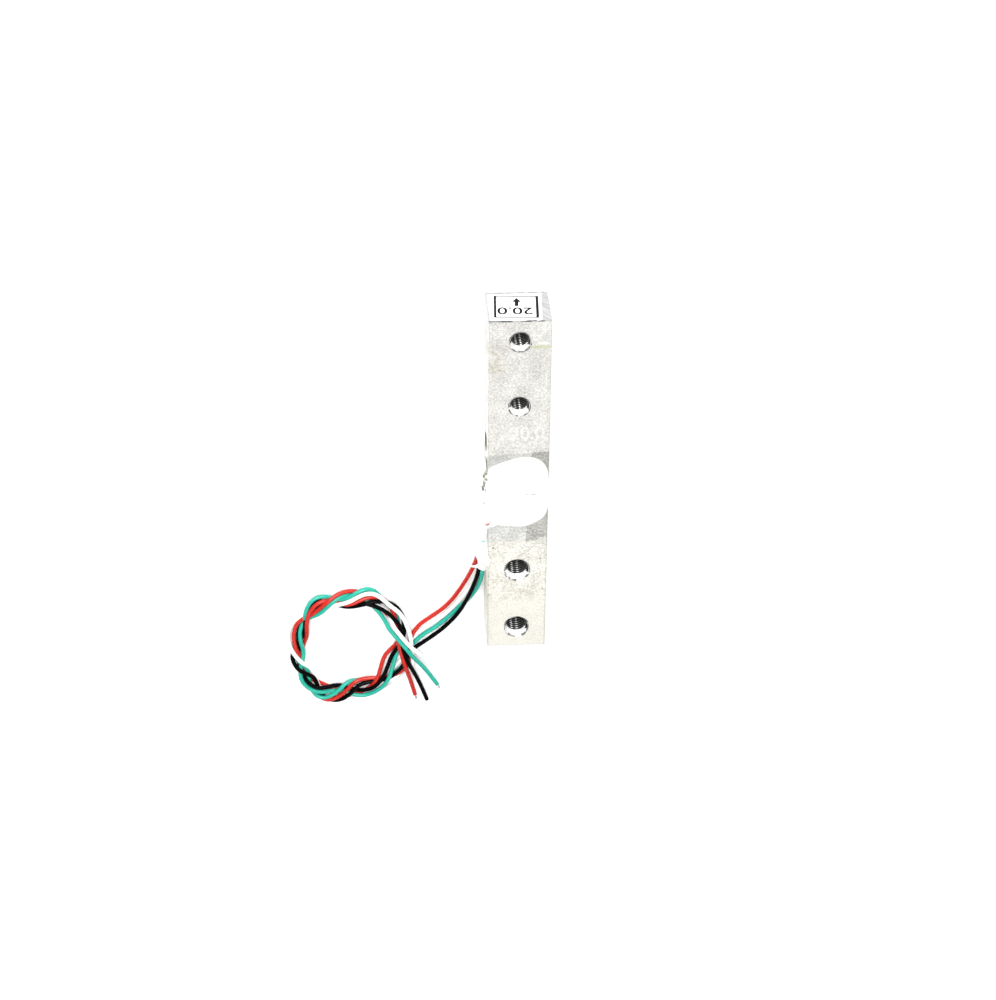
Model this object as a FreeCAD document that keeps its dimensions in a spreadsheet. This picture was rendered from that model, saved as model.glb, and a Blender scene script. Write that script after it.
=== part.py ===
"""Single point load cell: an aluminium bending beam with a binocular cut-out, four bonded strain
gauges under silicone, and four thin wires that end in a loose coil on the table.

Frame: millimetres, +Z up, z = 0 is the table. The beam lies along Y with its loading end at +Y,
its tapped holes along Z, and the wires leave its -X side. The origin is the bottom centre of the
cell without its wires, so the beam's own axis stands half the wire bead's reach towards +X.
"""
import FreeCAD, Part
import math
import os
import Sketcher
from FreeCAD import Placement, Rotation, Vector

NODES = []          # every finished sub-part, in the order it is made
GAUGES = (("top_front", 1, 1), ("top_rear", 1, -1), ("bottom_front", -1, 1), ("bottom_rear", -1, -1))

doc = FreeCAD.newDocument("load_cell")
sheet = doc.addObject("Spreadsheet::Sheet", "Sizes")

SIZES = (
    # beam
    ("beam_length", 80.0), ("beam_width", 12.7), ("beam_height", 12.7), ("edge_break", 0.25),
    ("lobe_diameter", 9.4), ("lobe_offset", 5.5), ("slot_height", 4.0),
    ("end_margin", 5.0), ("hole_spacing", 15.0),
    ("load_bore", 3.3), ("load_countersink", 4.6), ("fixed_bore", 4.2), ("fixed_countersink", 5.7),
    # strain gauges
    ("backing_length", 6.0), ("backing_width", 3.8), ("backing_thickness", 0.05),
    ("foil_thickness", 0.03), ("grid_length", 2.8), ("grid_shift", 0.6), ("grid_strands", 8),
    ("strand_width", 0.2), ("strand_gap", 0.14), ("tab_width", 1.1), ("tab_length", 0.9), ("tab_neck", 0.3),
    # terminal strip and solder
    ("strip_length", 10.0), ("strip_width", 2.2), ("strip_thickness", 0.08), ("strip_edge_gap", 0.5),
    ("strip_start_y", -8.2), ("pad_start", 0.7), ("pad_pitch", 1.35),
    ("solder_radius", 0.62), ("solder_reach", 1.3),
    # enamelled jumpers
    ("jumper_diameter", 0.2), ("jumper_clearance", 0.02), ("jumper_bend", 0.35), ("jumper_gap", 0.4),
    ("jumper_step", 1.2), ("front_jumpers_y", 0.75), ("rear_jumpers_y", -2.55), ("landing_gap", 0.8),
    ("landing_inset", 0.2), ("landing_reach", 0.9),
    # silicone
    ("coat_length", 17.6), ("coat_corner", 4.5), ("top_coat", 1.5), ("top_coat_round", 0.9),
    ("bottom_coat", 0.8), ("bottom_coat_round", 0.4),
    ("seal_width", 1.5), ("seal_reach", 0.7), ("seal_lip", 0.45), ("seal_round", 0.3),
    ("bead_reach", 3.6), ("bead_round", 0.7),
    ("bead_start_y", -3.7), ("bead_start_low", 10.2), ("bead_start_high", 13.7), ("bead_start_reach", 1.2),
    ("bead_turn_y", -9.0), ("bead_turn_low", 7.0), ("bead_turn_high", 13.6), ("bead_turn_reach", 1.8),
    ("bead_swell_y", -16.5), ("bead_swell_low", 3.2), ("bead_swell_high", 10.4), ("bead_swell_reach", 3.2),
    ("bead_end_y", -25.0), ("bead_end_low", 1.2), ("bead_end_high", 7.6),
    # end label
    ("label_width", 11.3), ("label_height", 11.8), ("label_thickness", 0.1), ("label_inset", 0.1),
    # wires
    ("wire_diameter", 1.0), ("tip_diameter", 0.3), ("tip_length", 1.6),
    ("coil_centre_x", -34.4), ("coil_centre_y", -47.8), ("coil_outer_radius", 14.2),
    ("coil_band", 5.0), ("coil_height", 2.9), ("coil_round", 1.1),
)
for row, (alias, value) in enumerate(SIZES, start=1):
    sheet.set(f"A{row}", alias)
    sheet.set(f"B{row}", str(value))
    sheet.setAlias(f"B{row}", alias)
doc.recompute()


def size(alias):
    """A value of the sheet, as a plain number."""
    return float(sheet.get(alias))


def bind(obj, **expressions):
    """Tie properties of an object to the sheet; a double underscore stands for a point."""
    for name, expression in expressions.items():
        obj.setExpression(name.replace("__", "."), expression)


# Where the cell's own frame stands in the part's frame: over its bottom coat, half a bead across.
SEAT = {"Placement__Base__x": "Sizes.bead_reach / 2", "Placement__Base__z": "Sizes.bottom_coat"}
# The terminal strip's outer edge in the cell's own frame, beside the edge that the wires come over.
STRIP_EDGE = "Sizes.strip_edge_gap - Sizes.beam_width / 2"


def node(obj, label):
    """Give a finished sub-part its name and put it on the list."""
    obj.Label = label
    NODES.append(obj)
    return obj


def seated(obj, label):
    """Finish a sub-part that was drawn in the beam's own frame."""
    bind(obj, **SEAT)
    return node(obj, label)


def origin_plane(body, role):
    return next(feature for feature in body.Origin.OriginFeatures if feature.Role == role)


def sketch_on(body, name, role):
    sketch = body.newObject("Sketcher::SketchObject", name)
    sketch.AttachmentSupport = [(origin_plane(body, role), "")]
    sketch.MapMode = "FlatFace"
    return sketch


def dimension(sketch, expression, *constraint):
    """Add a sketch dimension and tie it to the sheet."""
    index = sketch.addConstraint(Sketcher.Constraint(*constraint))
    sketch.setExpression(f"Constraints[{index}]", expression)


def centred_rectangle(sketch, width, height, base=None, about_origin=False):
    """A rectangle centred on the vertical axis, which stands on the horizontal axis, or a base above
    it, or has its middle in the origin."""
    corners = [Vector(-2, 1, 0), Vector(2, 1, 0), Vector(2, 3, 0), Vector(-2, 3, 0)]
    for start, end in zip(corners, corners[1:] + corners[:1]):
        sketch.addGeometry(Part.LineSegment(start, end), False)
    for side in range(4):
        sketch.addConstraint(Sketcher.Constraint("Coincident", side, 2, (side + 1) % 4, 1))
    for side, kind in ((2, "Horizontal"), (1, "Vertical"), (3, "Vertical")):
        sketch.addConstraint(Sketcher.Constraint(kind, side))
    dimension(sketch, width, "Distance", 0, 4.0)
    dimension(sketch, height, "Distance", 1, 2.0)
    if about_origin:
        sketch.addConstraint(Sketcher.Constraint("Horizontal", 0))
        sketch.addConstraint(Sketcher.Constraint("Symmetric", 0, 1, 2, 1, -1, 1))
        return
    sketch.addConstraint(Sketcher.Constraint("Symmetric", 0, 1, 0, 2, -2))
    if base:
        dimension(sketch, base, "DistanceY", -1, 1, 0, 1, 1.0)
    else:
        sketch.addConstraint(Sketcher.Constraint("PointOnObject", 0, 1, -1))


def pocket(body, name, sketch):
    """Cut a sketch right through the body, both ways from its plane."""
    cut = body.newObject("PartDesign::Pocket", name)
    cut.Profile = sketch
    cut.Type = "ThroughAll"
    cut.Midplane = True
    return cut


def make_beam():
    """The bar: a square section along Y, the binocular cut-out across it and four tapped bores."""
    body = doc.addObject("PartDesign::Body", "Beam")
    section = sketch_on(body, "BeamSection", "XZ_Plane")
    centred_rectangle(section, "Sizes.beam_width", "Sizes.beam_height")
    bar = body.newObject("PartDesign::Pad", "Bar")
    bar.Profile = section
    bar.Midplane = True
    bind(bar, Length="Sizes.beam_length")

    lobes = sketch_on(body, "LobeCircles", "YZ_Plane")
    for index, side in enumerate((-1, 1)):
        lobes.addGeometry(Part.Circle(Vector(side * 5, 6, 0), Vector(0, 0, 1), 4), False)
        dimension(lobes, "Sizes.lobe_diameter / 2", "Radius", index, 4.0)
        dimension(lobes, "Sizes.beam_height / 2", "DistanceY", -1, 1, index, 3, 6.0)
        ends = (index, 3, -1, 1) if side < 0 else (-1, 1, index, 3)
        dimension(lobes, "Sizes.lobe_offset", "DistanceX", *ends, 5.0)
    pocket(body, "Lobes", lobes)
    slot = sketch_on(body, "SlotRectangle", "YZ_Plane")
    centred_rectangle(slot, "2 * Sizes.lobe_offset", "Sizes.slot_height",
                      "(Sizes.beam_height - Sizes.slot_height) / 2")
    pocket(body, "Slot", slot)

    for end, side in (("load", 1), ("fixed", -1)):
        circles = sketch_on(body, f"{end.title()}Circles", "XY_Plane")
        for index, reach in enumerate(("Sizes.end_margin", "(Sizes.end_margin + Sizes.hole_spacing)")):
            centre = Vector(0, side * (30 - 10 * index), 0)
            circles.addGeometry(Part.Circle(centre, Vector(0, 0, 1), 2), False)
            circles.addConstraint(Sketcher.Constraint("PointOnObject", index, 3, -2))
            dimension(circles, f"Sizes.{end}_bore / 2", "Radius", index, 2.0)
            ends = (index, 3, -1, 1) if side < 0 else (-1, 1, index, 3)
            dimension(circles, f"Sizes.beam_length / 2 - {reach}", "DistanceY", *ends, 30.0)
        bores = pocket(body, f"{end.title()}Bores", circles)
        doc.recompute()
        rims = [f"Edge{i}" for i, edge in enumerate(bores.Shape.Edges, start=1) if is_rim(edge, end)]
        countersinks = body.newObject("PartDesign::Chamfer", f"{end.title()}Countersinks")
        countersinks.Base = (bores, rims)
        bind(countersinks, Size=f"(Sizes.{end}_countersink - Sizes.{end}_bore) / 2")
        doc.recompute()

    long_edges = [f"Edge{i}" for i, edge in enumerate(countersinks.Shape.Edges, start=1) if is_long(edge)]
    edges = body.newObject("PartDesign::Chamfer", "EdgeBreaks")
    edges.Base = (countersinks, long_edges)
    bind(edges, Size="Sizes.edge_break")
    body.Tip = edges
    return seated(body, "beam")


def is_rim(edge, end):
    """True for the circle where a bore of that end meets the top or the underside."""
    if not isinstance(edge.Curve, Part.Circle) or abs(edge.Curve.Axis.z) < 0.9:
        return False
    middle = edge.Curve.Center
    on_face = min(abs(middle.z), abs(middle.z - size("beam_height"))) < 1e-6
    return on_face and (middle.y > 0) == (end == "load")


def is_long(edge):
    """True for the four corner edges along the whole beam."""
    return isinstance(edge.Curve, Part.Line) and abs(edge.Length - size("beam_length")) < 1e-6


def face_height(side, lift="0"):
    """The beam's top (side 1) or underside (side -1), raised off the metal by lift."""
    return f"Sizes.beam_height + ({lift})" if side > 0 else f"-({lift})"


def box(name, **expressions):
    solid = doc.addObject("Part::Box", name)
    bind(solid, **expressions)
    return solid


def make_backing(name, side, end):
    """The gauge's film, bonded over the thin wall of one lobe."""
    film = box(f"Backing_{name}", Length="Sizes.backing_width", Width="Sizes.backing_length",
               Height="Sizes.backing_thickness")
    bottom = face_height(side, "0" if side > 0 else "Sizes.backing_thickness")
    bind(film, Placement__Base__x="Sizes.bead_reach / 2 - Sizes.backing_width / 2",
         Placement__Base__y=f"{end} * Sizes.lobe_offset - Sizes.backing_length / 2",
         Placement__Base__z=f"Sizes.bottom_coat + {bottom}")
    return node(film, f"gauge_backing_{name}")


def feature(name, shape, place=None):
    """A document object that holds a shape worked out below; its Placement comes after its Shape."""
    obj = doc.addObject("Part::Feature", name)
    obj.Shape = shape
    if place:
        obj.Placement = place
    return obj


def foil_outline():
    """One closed outline: strands joined end to end in a zigzag, a tab under the first and the last.

    Drawn with the strands' inner ends on y = 0 and the tabs below them.
    """
    count = int(size("grid_strands"))
    step = size("strand_width") + size("strand_gap")
    half = size("strand_width") / 2
    top = size("grid_length")
    turn = size("strand_width")
    lefts = [(i - (count - 1) / 2) * step - half for i in range(count)]
    rights = [left + turn for left in lefts]
    tab_head = -size("tab_neck")
    tab_foot = tab_head - size("tab_length")
    tab = size("tab_width")
    points = [(lefts[0], tab_foot)]
    for i in range(0, count, 2):
        points += [(lefts[i], top), (rights[i + 1], top)]
        if i + 2 < count:
            points += [(rights[i + 1], turn), (lefts[i + 2], turn)]
    points += [(rights[-1], tab_foot), (rights[-1] - tab, tab_foot), (rights[-1] - tab, tab_head)]
    points.append((lefts[-1], tab_head))
    for i in range(count - 1, 0, -2):
        points += [(lefts[i], top - turn), (rights[i - 1], top - turn)]
        if i > 1:
            points += [(rights[i - 1], 0), (lefts[i - 2], 0)]
    points += [(rights[0], tab_head), (lefts[0] + tab, tab_head), (lefts[0] + tab, tab_foot)]
    return [Vector(x, y, 0) for x, y in points]


def cell_place(x=0.0, y=0.0, z=0.0, turn=0.0):
    """A place in the beam's frame, which stands on the bottom coat, half a bead across."""
    place = Vector(x + size("bead_reach") / 2, y, z + size("bottom_coat"))
    return Placement(place, Rotation(Vector(0, 0, 1), turn))


def make_grid(name, side, end):
    """The etched foil of one gauge, its tabs towards the middle of the cell."""
    outline = foil_outline()
    face = Part.Face(Part.makePolygon(outline + outline[:1]))
    foil = face.extrude(Vector(0, 0, size("foil_thickness")))
    backing = size("backing_thickness")
    lift = size("beam_height") + backing if side > 0 else -backing - size("foil_thickness")
    inner_end = end * (size("lobe_offset") - size("grid_length") / 2 + size("grid_shift"))
    return node(feature(f"Grid_{name}", foil, cell_place(0, inner_end, lift, 0 if end > 0 else 180)),
                f"gauge_grid_{name}")


def make_strip():
    """The flexible terminal strip beside the gauges, under the top coat."""
    strip = box("Strip", Length="Sizes.strip_width", Width="Sizes.strip_length",
                Height="Sizes.strip_thickness")
    bind(strip, Placement__Base__x=f"Sizes.bead_reach / 2 + {STRIP_EDGE}",
         Placement__Base__y="Sizes.strip_start_y",
         Placement__Base__z="Sizes.bottom_coat + Sizes.beam_height")
    return node(strip, "terminal_strip")


def make_solder(colour, index):
    """A dome of solder on the strip, where that colour's wire is joined."""
    dome = doc.addObject("Part::Sphere", f"Solder_{colour}")
    dome.Angle1 = 0
    bind(dome, Radius="Sizes.solder_radius",
         Placement__Base__x=f"Sizes.bead_reach / 2 + {STRIP_EDGE} + Sizes.solder_reach",
         Placement__Base__y=f"Sizes.strip_start_y + Sizes.pad_start + {index} * Sizes.pad_pitch",
         Placement__Base__z="Sizes.bottom_coat + Sizes.beam_height + Sizes.strip_thickness")
    return node(dome, f"solder_joint_{colour}")


def rounded_path(points, bend=None):
    """Straight runs joined by tangent arcs, each as large as its two runs allow or of the given radius."""
    edges, radii, start = [], [], points[0]
    for before, corner, after in zip(points, points[1:], points[2:]):
        back = (before - corner).normalize()
        ahead = (after - corner).normalize()
        turn = math.pi - back.getAngle(ahead)
        shorter = min((before - corner).Length, (after - corner).Length)
        radius = min(0.45 * shorter / math.tan(turn / 2), bend or math.inf)
        trim = radius * math.tan(turn / 2)
        radii.append(radius)
        inward = (back + ahead).normalize()
        middle = corner + inward * (radius / math.cos(turn / 2) - radius)
        first, last = corner + back * trim, corner + ahead * trim
        edges += [Part.LineSegment(start, first).toShape(), Part.Arc(first, middle, last).toShape()]
        start = last
    edges.append(Part.LineSegment(start, points[-1]).toShape())
    return Part.Wire(edges), radii


def tube(points, diameter, bend=None, name=""):
    """A round tube along such a path; prints its tightest bend and how true its volume is."""
    path, radii = rounded_path(points, bend)
    heading = (points[1] - points[0]).normalize()
    ring = Part.Wire(Part.Circle(points[0], heading, diameter / 2).toShape())
    solid = path.makePipeShell([ring], True, False)
    expected = math.pi * diameter ** 2 / 4 * path.Length
    print(f"{name}: length {path.Length:.1f}, least radius {min(radii, default=math.inf):.2f}, "
          f"volume {solid.Volume / expected:.4f} of section x length")
    return solid


def jumper_route(side, end, tab_side):
    """One jumper's route in the beam's frame, from a gauge tab to the terminal strip.

    Those of the top gauges cross straight to the strip's inner edge; those of the bottom gauges go
    round the -X side of the beam, two by two, and land on its outer edge.
    """
    height = size("beam_height")
    lift = size("strip_thickness") + size("jumper_diameter") / 2
    tab_x = tab_side * ((size("grid_strands") - 1) * (size("strand_width") + size("strand_gap"))
                        + size("strand_width") - size("tab_width")) / 2
    tab_y = end * (size("lobe_offset") - size("grid_length") / 2 + size("grid_shift")
                   - size("tab_neck") - size("tab_length") / 2)
    pair_y = size("front_jumpers_y") if end > 0 else size("rear_jumpers_y")
    spread = -tab_side * end * (size("landing_gap") if side > 0 else size("jumper_gap")) / 2
    landing_y = pair_y + spread
    strip_outer = -size("beam_width") / 2 + size("strip_edge_gap")
    strip_inner = strip_outer + size("strip_width")
    route = [(tab_x, tab_y)]
    if tab_side > 0:
        route.append((tab_x, tab_y - end * size("jumper_step")))
    if side > 0:
        landing_x = strip_inner - size("landing_inset")
        return [Vector(x, y, height + lift) for x, y in route + [(landing_x, landing_y)]]
    wall_x = -(size("beam_width") + size("jumper_diameter")) / 2 - size("jumper_clearance")
    route += [(strip_inner, landing_y), (wall_x, landing_y)]
    under = [Vector(x, y, -lift) for x, y in route]
    over = [Vector(x, landing_y, height + lift) for x in (wall_x, strip_outer + size("landing_reach"))]
    return under + over


def make_jumpers(name, side, end):
    """The two enamelled wires of one gauge."""
    made = []
    for letter, tab_side in (("a", -1), ("b", 1)):
        label = f"jumper_{name}_{letter}"
        wire = tube(jumper_route(side, end, tab_side), size("jumper_diameter"), size("jumper_bend"), label)
        made.append(node(feature(f"Jumper_{name}_{letter}", wire, cell_place()), label))
    return made


# Each wire's route in the part's frame, chosen by hand: from its solder joint over the beam's edge,
# down through the bead and across the table into the coil; then its free end, out of the coil.
WIRES = {
    "red": (
        [(-3.1, -7.5, 14.12), (-5.2, -8.0, 14.15), (-5.35, -9.3, 12.6), (-6.15, -12.0, 11.25),
         (-7.0, -16.5, 8.4), (-7.4, -21.0, 5.6), (-7.6, -25.4, 4.0), (-9.3, -30.9, 2.6),
         (-11.3, -35.6, 1.3), (-13.6, -38.8, 0.65), (-16.6, -41.2, 0.55), (-19.6, -43.6, 0.9),
         (-22.0, -45.9, 1.3)],
        [(-23.0, -50.5, 2.3), (-22.2, -53.7, 2.2), (-21.1, -58.7, 1.2), (-20.2, -62.9, 0.5)]),
    "green": (
        [(-3.1, -6.15, 14.12), (-5.15, -6.7, 14.12), (-5.15, -7.9, 12.3), (-5.1, -10.6, 10.9),
         (-5.1, -15.5, 8.9), (-5.12, -20.0, 7.7), (-5.1, -25.4, 6.4), (-5.9, -30.3, 4.3),
         (-7.6, -34.6, 2.5), (-9.8, -37.7, 1.3), (-12.1, -40.8, 0.7), (-15.3, -43.9, 0.55),
         (-18.2, -45.9, 0.5), (-21.3, -47.5, 0.6)],
        [(-22.9, -46.5, 2.3), (-21.2, -49.0, 2.2), (-19.0, -52.8, 1.7), (-17.0, -56.6, 1.0),
         (-15.1, -60.2, 0.5)]),
    "black": (
        [(-3.1, -4.8, 14.12), (-5.15, -5.4, 14.12), (-5.15, -6.4, 11.9), (-5.3, -9.2, 9.9),
         (-5.8, -13.5, 7.9), (-6.1, -19.5, 6.5), (-6.1, -25.2, 5.8), (-7.1, -30.2, 4.6),
         (-8.6, -34.9, 3.5), (-10.5, -39.5, 2.1), (-13.3, -43.7, 0.95), (-16.4, -46.7, 0.6),
         (-19.8, -48.5, 0.55), (-23.0, -49.4, 0.9)],
        [(-22.8, -48.9, 2.3), (-21.7, -52.0, 2.2), (-20.1, -56.3, 1.6), (-18.6, -60.7, 0.9),
         (-17.5, -64.5, 0.5)]),
    "white": (
        [(-3.1, -3.45, 14.12), (-5.15, -4.1, 14.12), (-5.15, -5.0, 11.4), (-5.1, -8.0, 8.6),
         (-5.1, -13.0, 6.6), (-5.12, -19.0, 5.6), (-5.2, -25.2, 4.9), (-6.5, -30.2, 2.9),
         (-9.4, -35.2, 1.5), (-12.2, -39.3, 0.75), (-15.5, -42.3, 0.55), (-18.8, -44.7, 0.55),
         (-21.9, -46.7, 0.8)],
        [(-22.3, -44.6, 2.3), (-20.3, -47.4, 2.2), (-18.3, -50.6, 1.6), (-16.2, -54.3, 0.9),
         (-14.0, -58.0, 0.5)]),
}
BARE_TIPS = ("red", "green")


def make_coil():
    """The outer shape of the coil in which the four wires lie together: a flat ring on the table."""
    body = doc.addObject("PartDesign::Body", "Coil")
    section = sketch_on(body, "CoilSection", "XZ_Plane")
    corners = [Vector(9, 0, 0), Vector(14, 0, 0), Vector(14, 3, 0), Vector(9, 3, 0)]
    for start, end in zip(corners, corners[1:] + corners[:1]):
        section.addGeometry(Part.LineSegment(start, end), False)
    for side in range(4):
        section.addConstraint(Sketcher.Constraint("Coincident", side, 2, (side + 1) % 4, 1))
    for side, kind in ((0, "Horizontal"), (2, "Horizontal"), (1, "Vertical"), (3, "Vertical")):
        section.addConstraint(Sketcher.Constraint(kind, side))
    section.addConstraint(Sketcher.Constraint("PointOnObject", 0, 1, -1))
    dimension(section, "Sizes.coil_outer_radius", "DistanceX", -1, 1, 0, 2, 14.0)
    dimension(section, "Sizes.coil_band", "DistanceX", 0, 1, 0, 2, 5.0)
    dimension(section, "Sizes.coil_height", "DistanceY", 1, 1, 1, 2, 3.0)
    ring = body.newObject("PartDesign::Revolution", "Ring")
    ring.Profile = section
    ring.ReferenceAxis = (section, ["V_Axis"])
    ring.Angle = 360
    doc.recompute()
    circles = [f"Edge{i}" for i, edge in enumerate(ring.Shape.Edges, start=1)
               if isinstance(edge.Curve, Part.Circle)]
    rounds = body.newObject("PartDesign::Fillet", "CoilRounds")
    rounds.Base = (ring, circles)
    bind(rounds, Radius="Sizes.coil_round")
    body.Tip = rounds
    bind(body, Placement__Base__x="Sizes.coil_centre_x", Placement__Base__y="Sizes.coil_centre_y")
    return node(body, "wire_coil")


def make_wire(colour, coil, solder):
    """One wire: its root under the silicone, its lead to the coil, and its free end."""
    route, tail = [[Vector(*point) for point in points] for points in WIRES[colour]]
    diameter = size("wire_diameter")
    whole = tube(route, diameter, name=f"{colour} root and lead")
    far = 200.0
    inside = Part.makeBox(far, far, far, Vector(-far / 2, size("bead_end_y"), -far / 2))
    root = whole.common(inside).cut(solder.Shape)
    lead = whole.cut(inside).cut(coil.Shape)
    free = tube(tail, diameter, name=f"{colour} free end").cut(coil.Shape)
    made = node(feature(f"Root_{colour}", root), f"{colour}_wire_root")
    node(feature(f"Lead_{colour}", lead), f"{colour}_wire_lead")
    node(feature(f"Tail_{colour}", free), f"{colour}_wire_tail")
    if colour in BARE_TIPS:
        heading = (tail[-1] - tail[-2]).normalize()
        strands = Part.makeCylinder(size("tip_diameter") / 2, size("tip_length"), tail[-1], heading)
        node(feature(f"Tip_{colour}", strands), f"{colour}_wire_tip")
    return made


def make_coat(name, thickness, edge_round, base, embedded):
    """A flat dab of silicone over the gauges of one face, its outer rim rounded."""
    body = doc.addObject("PartDesign::Body", f"{name.title()}Dab")
    outline = sketch_on(body, f"{name.title()}Outline", "XY_Plane")
    centred_rectangle(outline, "Sizes.beam_width", "Sizes.coat_length", about_origin=True)
    dab = body.newObject("PartDesign::Pad", f"{name.title()}Pad")
    dab.Profile = outline
    bind(dab, Length=thickness)
    doc.recompute()
    upright = [f"Edge{i}" for i, edge in enumerate(dab.Shape.Edges, start=1)
               if abs(edge.tangentAt(edge.FirstParameter).z) > 0.9]
    corners = body.newObject("PartDesign::Fillet", f"{name.title()}Corners")
    corners.Base = (dab, upright)
    bind(corners, Radius="Sizes.coat_corner")
    doc.recompute()
    rim_level = dab.Shape.BoundBox.ZMax if name == "top" else dab.Shape.BoundBox.ZMin
    rim = [f"Edge{i}" for i, edge in enumerate(corners.Shape.Edges, start=1)
           if abs(edge.BoundBox.ZMin - rim_level) < 1e-6 and abs(edge.BoundBox.ZMax - rim_level) < 1e-6]
    rounds = body.newObject("PartDesign::Fillet", f"{name.title()}Rounds")
    rounds.Base = (corners, rim)
    bind(rounds, Radius=edge_round)
    body.Tip = rounds
    bind(body, Placement__Base__x="Sizes.bead_reach / 2", Placement__Base__z=base)
    return node(minus(f"{name.title()}Coat", body, embedded), f"{name}_silicone")


def minus(name, base, tools):
    """Leave room in a soft piece for everything bedded in it."""
    left = base
    for count, tool in enumerate(tools, start=1):
        cut = doc.addObject("Part::Cut", f"{name}Cut{count}")
        cut.Base = left
        cut.Tool = tool
        left = cut
    return left


def make_seal(end, embedded):
    """The thin strand of silicone over two jumpers on the beam's side."""
    which = "front" if end > 0 else "rear"
    block = box(f"{which.title()}SealBlock", Length="Sizes.seal_reach", Width="Sizes.seal_width",
                Height="Sizes.beam_height + 2 * Sizes.seal_lip")
    bind(block, Placement__Base__x="Sizes.bead_reach / 2 - Sizes.beam_width / 2 - Sizes.seal_reach",
         Placement__Base__y=f"Sizes.{which}_jumpers_y - Sizes.seal_width / 2",
         Placement__Base__z="Sizes.bottom_coat - Sizes.seal_lip")
    doc.recompute()
    outer = block.Shape.BoundBox.XMin
    rims = [i for i, edge in enumerate(block.Shape.Edges, start=1)
            if abs(edge.BoundBox.XMin - outer) < 1e-6 and abs(edge.BoundBox.XMax - outer) < 1e-6]
    rounded = doc.addObject("Part::Fillet", f"{which.title()}SealRound")
    rounded.Base = block
    rounded.Edges = [(i, size("seal_round"), size("seal_round")) for i in rims]
    return node(minus(f"{which.title()}Seal", rounded, embedded), f"jumper_silicone_{which}")


def bead_section(station):
    """The bead's outline at one station along the side: flat on the beam, its outer corners round."""
    low, high = size(f"bead_{station}_low"), size(f"bead_{station}_high")
    reach = size("bead_reach") if station == "end" else size(f"bead_{station}_reach")
    y = size(f"bead_{station}_y")
    face = -size("beam_width") / 2
    outer = face - reach
    round_ = size("bead_round")
    slack = round_ * (1 - math.sqrt(0.5))
    corners = [Vector(face, y, low), Vector(outer + round_, y, low), Vector(outer + slack, y, low + slack),
               Vector(outer, y, low + round_), Vector(outer, y, high - round_),
               Vector(outer + slack, y, high - slack), Vector(outer + round_, y, high), Vector(face, y, high)]
    return Part.Wire([Part.LineSegment(corners[0], corners[1]).toShape(), Part.Arc(*corners[1:4]).toShape(),
                      Part.LineSegment(corners[3], corners[4]).toShape(), Part.Arc(*corners[4:7]).toShape(),
                      Part.LineSegment(corners[6], corners[7]).toShape(),
                      Part.LineSegment(corners[7], corners[0]).toShape()])


def make_bead(embedded):
    """The bead of silicone that holds the four wires against the beam's side and lets them out."""
    sections = [bead_section(station) for station in ("start", "turn", "swell", "end")]
    lump = feature("BeadLump", Part.makeLoft(sections, True, True), cell_place())
    return node(minus("Bead", lump, embedded), "side_silicone")


def make_label():
    """The thin sticker on the loading end."""
    label = box("Label", Length="Sizes.label_width", Width="Sizes.label_thickness",
                Height="Sizes.label_height")
    bind(label, Placement__Base__x="Sizes.bead_reach / 2 - Sizes.beam_width / 2 + Sizes.label_inset",
         Placement__Base__y="Sizes.beam_length / 2",
         Placement__Base__z="Sizes.bottom_coat + (Sizes.beam_height - Sizes.label_height) / 2")
    return node(label, "end_label")


def main():
    make_beam()
    under_top, under_bottom = [], []
    jumpers = {}
    for name, side, end in GAUGES:
        bedded = under_top if side > 0 else under_bottom
        bedded += [make_backing(name, side, end), make_grid(name, side, end)]
        jumpers[name] = make_jumpers(name, side, end)
        bedded += jumpers[name]
        if side < 0:
            under_top += jumpers[name]
    under_top.append(make_strip())
    joints = {colour: make_solder(colour, index) for index, colour in enumerate(WIRES)}
    coil = make_coil()
    doc.recompute()
    roots = [make_wire(colour, coil, joints[colour]) for colour in WIRES]
    under_top += list(joints.values()) + roots
    make_coat("top", "Sizes.top_coat", "Sizes.top_coat_round",
              "Sizes.bottom_coat + Sizes.beam_height", under_top)
    make_coat("bottom", "Sizes.bottom_coat", "Sizes.bottom_coat_round", "0", under_bottom)
    make_seal(1, jumpers["bottom_front"])
    make_seal(-1, jumpers["bottom_rear"])
    make_bead(roots)
    make_label()
    doc.recompute()
    write_parts()


def write_parts():
    """Check every object, then write one STEP file for each sub-part."""
    for obj in doc.Objects:
        if {"Invalid", "Error"} & set(obj.State):
            raise RuntimeError(f"{obj.Label} failed: {obj.State}")
    for obj in NODES:
        if obj.Shape.isNull() or not obj.Shape.isValid():
            raise RuntimeError(f"{obj.Label} has no valid shape")
        if len(obj.Shape.Solids) != 1:
            raise RuntimeError(f"{obj.Label} holds {len(obj.Shape.Solids)} solids")
    os.makedirs("parts", exist_ok=True)
    for obj in NODES:
        obj.Shape.exportStep(f"parts/{obj.Label}.step")
        span = obj.Shape.BoundBox
        print(f"{obj.Label}: volume {obj.Shape.Volume:.3f}, x {span.XMin:.2f}..{span.XMax:.2f}, "
              f"y {span.YMin:.2f}..{span.YMax:.2f}, z {span.ZMin:.2f}..{span.ZMax:.2f}")


main()
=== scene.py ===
"""Single point load cell: the finish of every surface, and four thin wires at their real length.

Metres, in the frame of the solid model: +Z up, the table at z = 0, the bar along Y with its loading
end at +Y, and the wires on its -X side. Sizes and places are written in millimetres.
"""
import math

import bmesh
import bpy
import numpy as np
from mathutils import Matrix, Vector, noise


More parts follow.
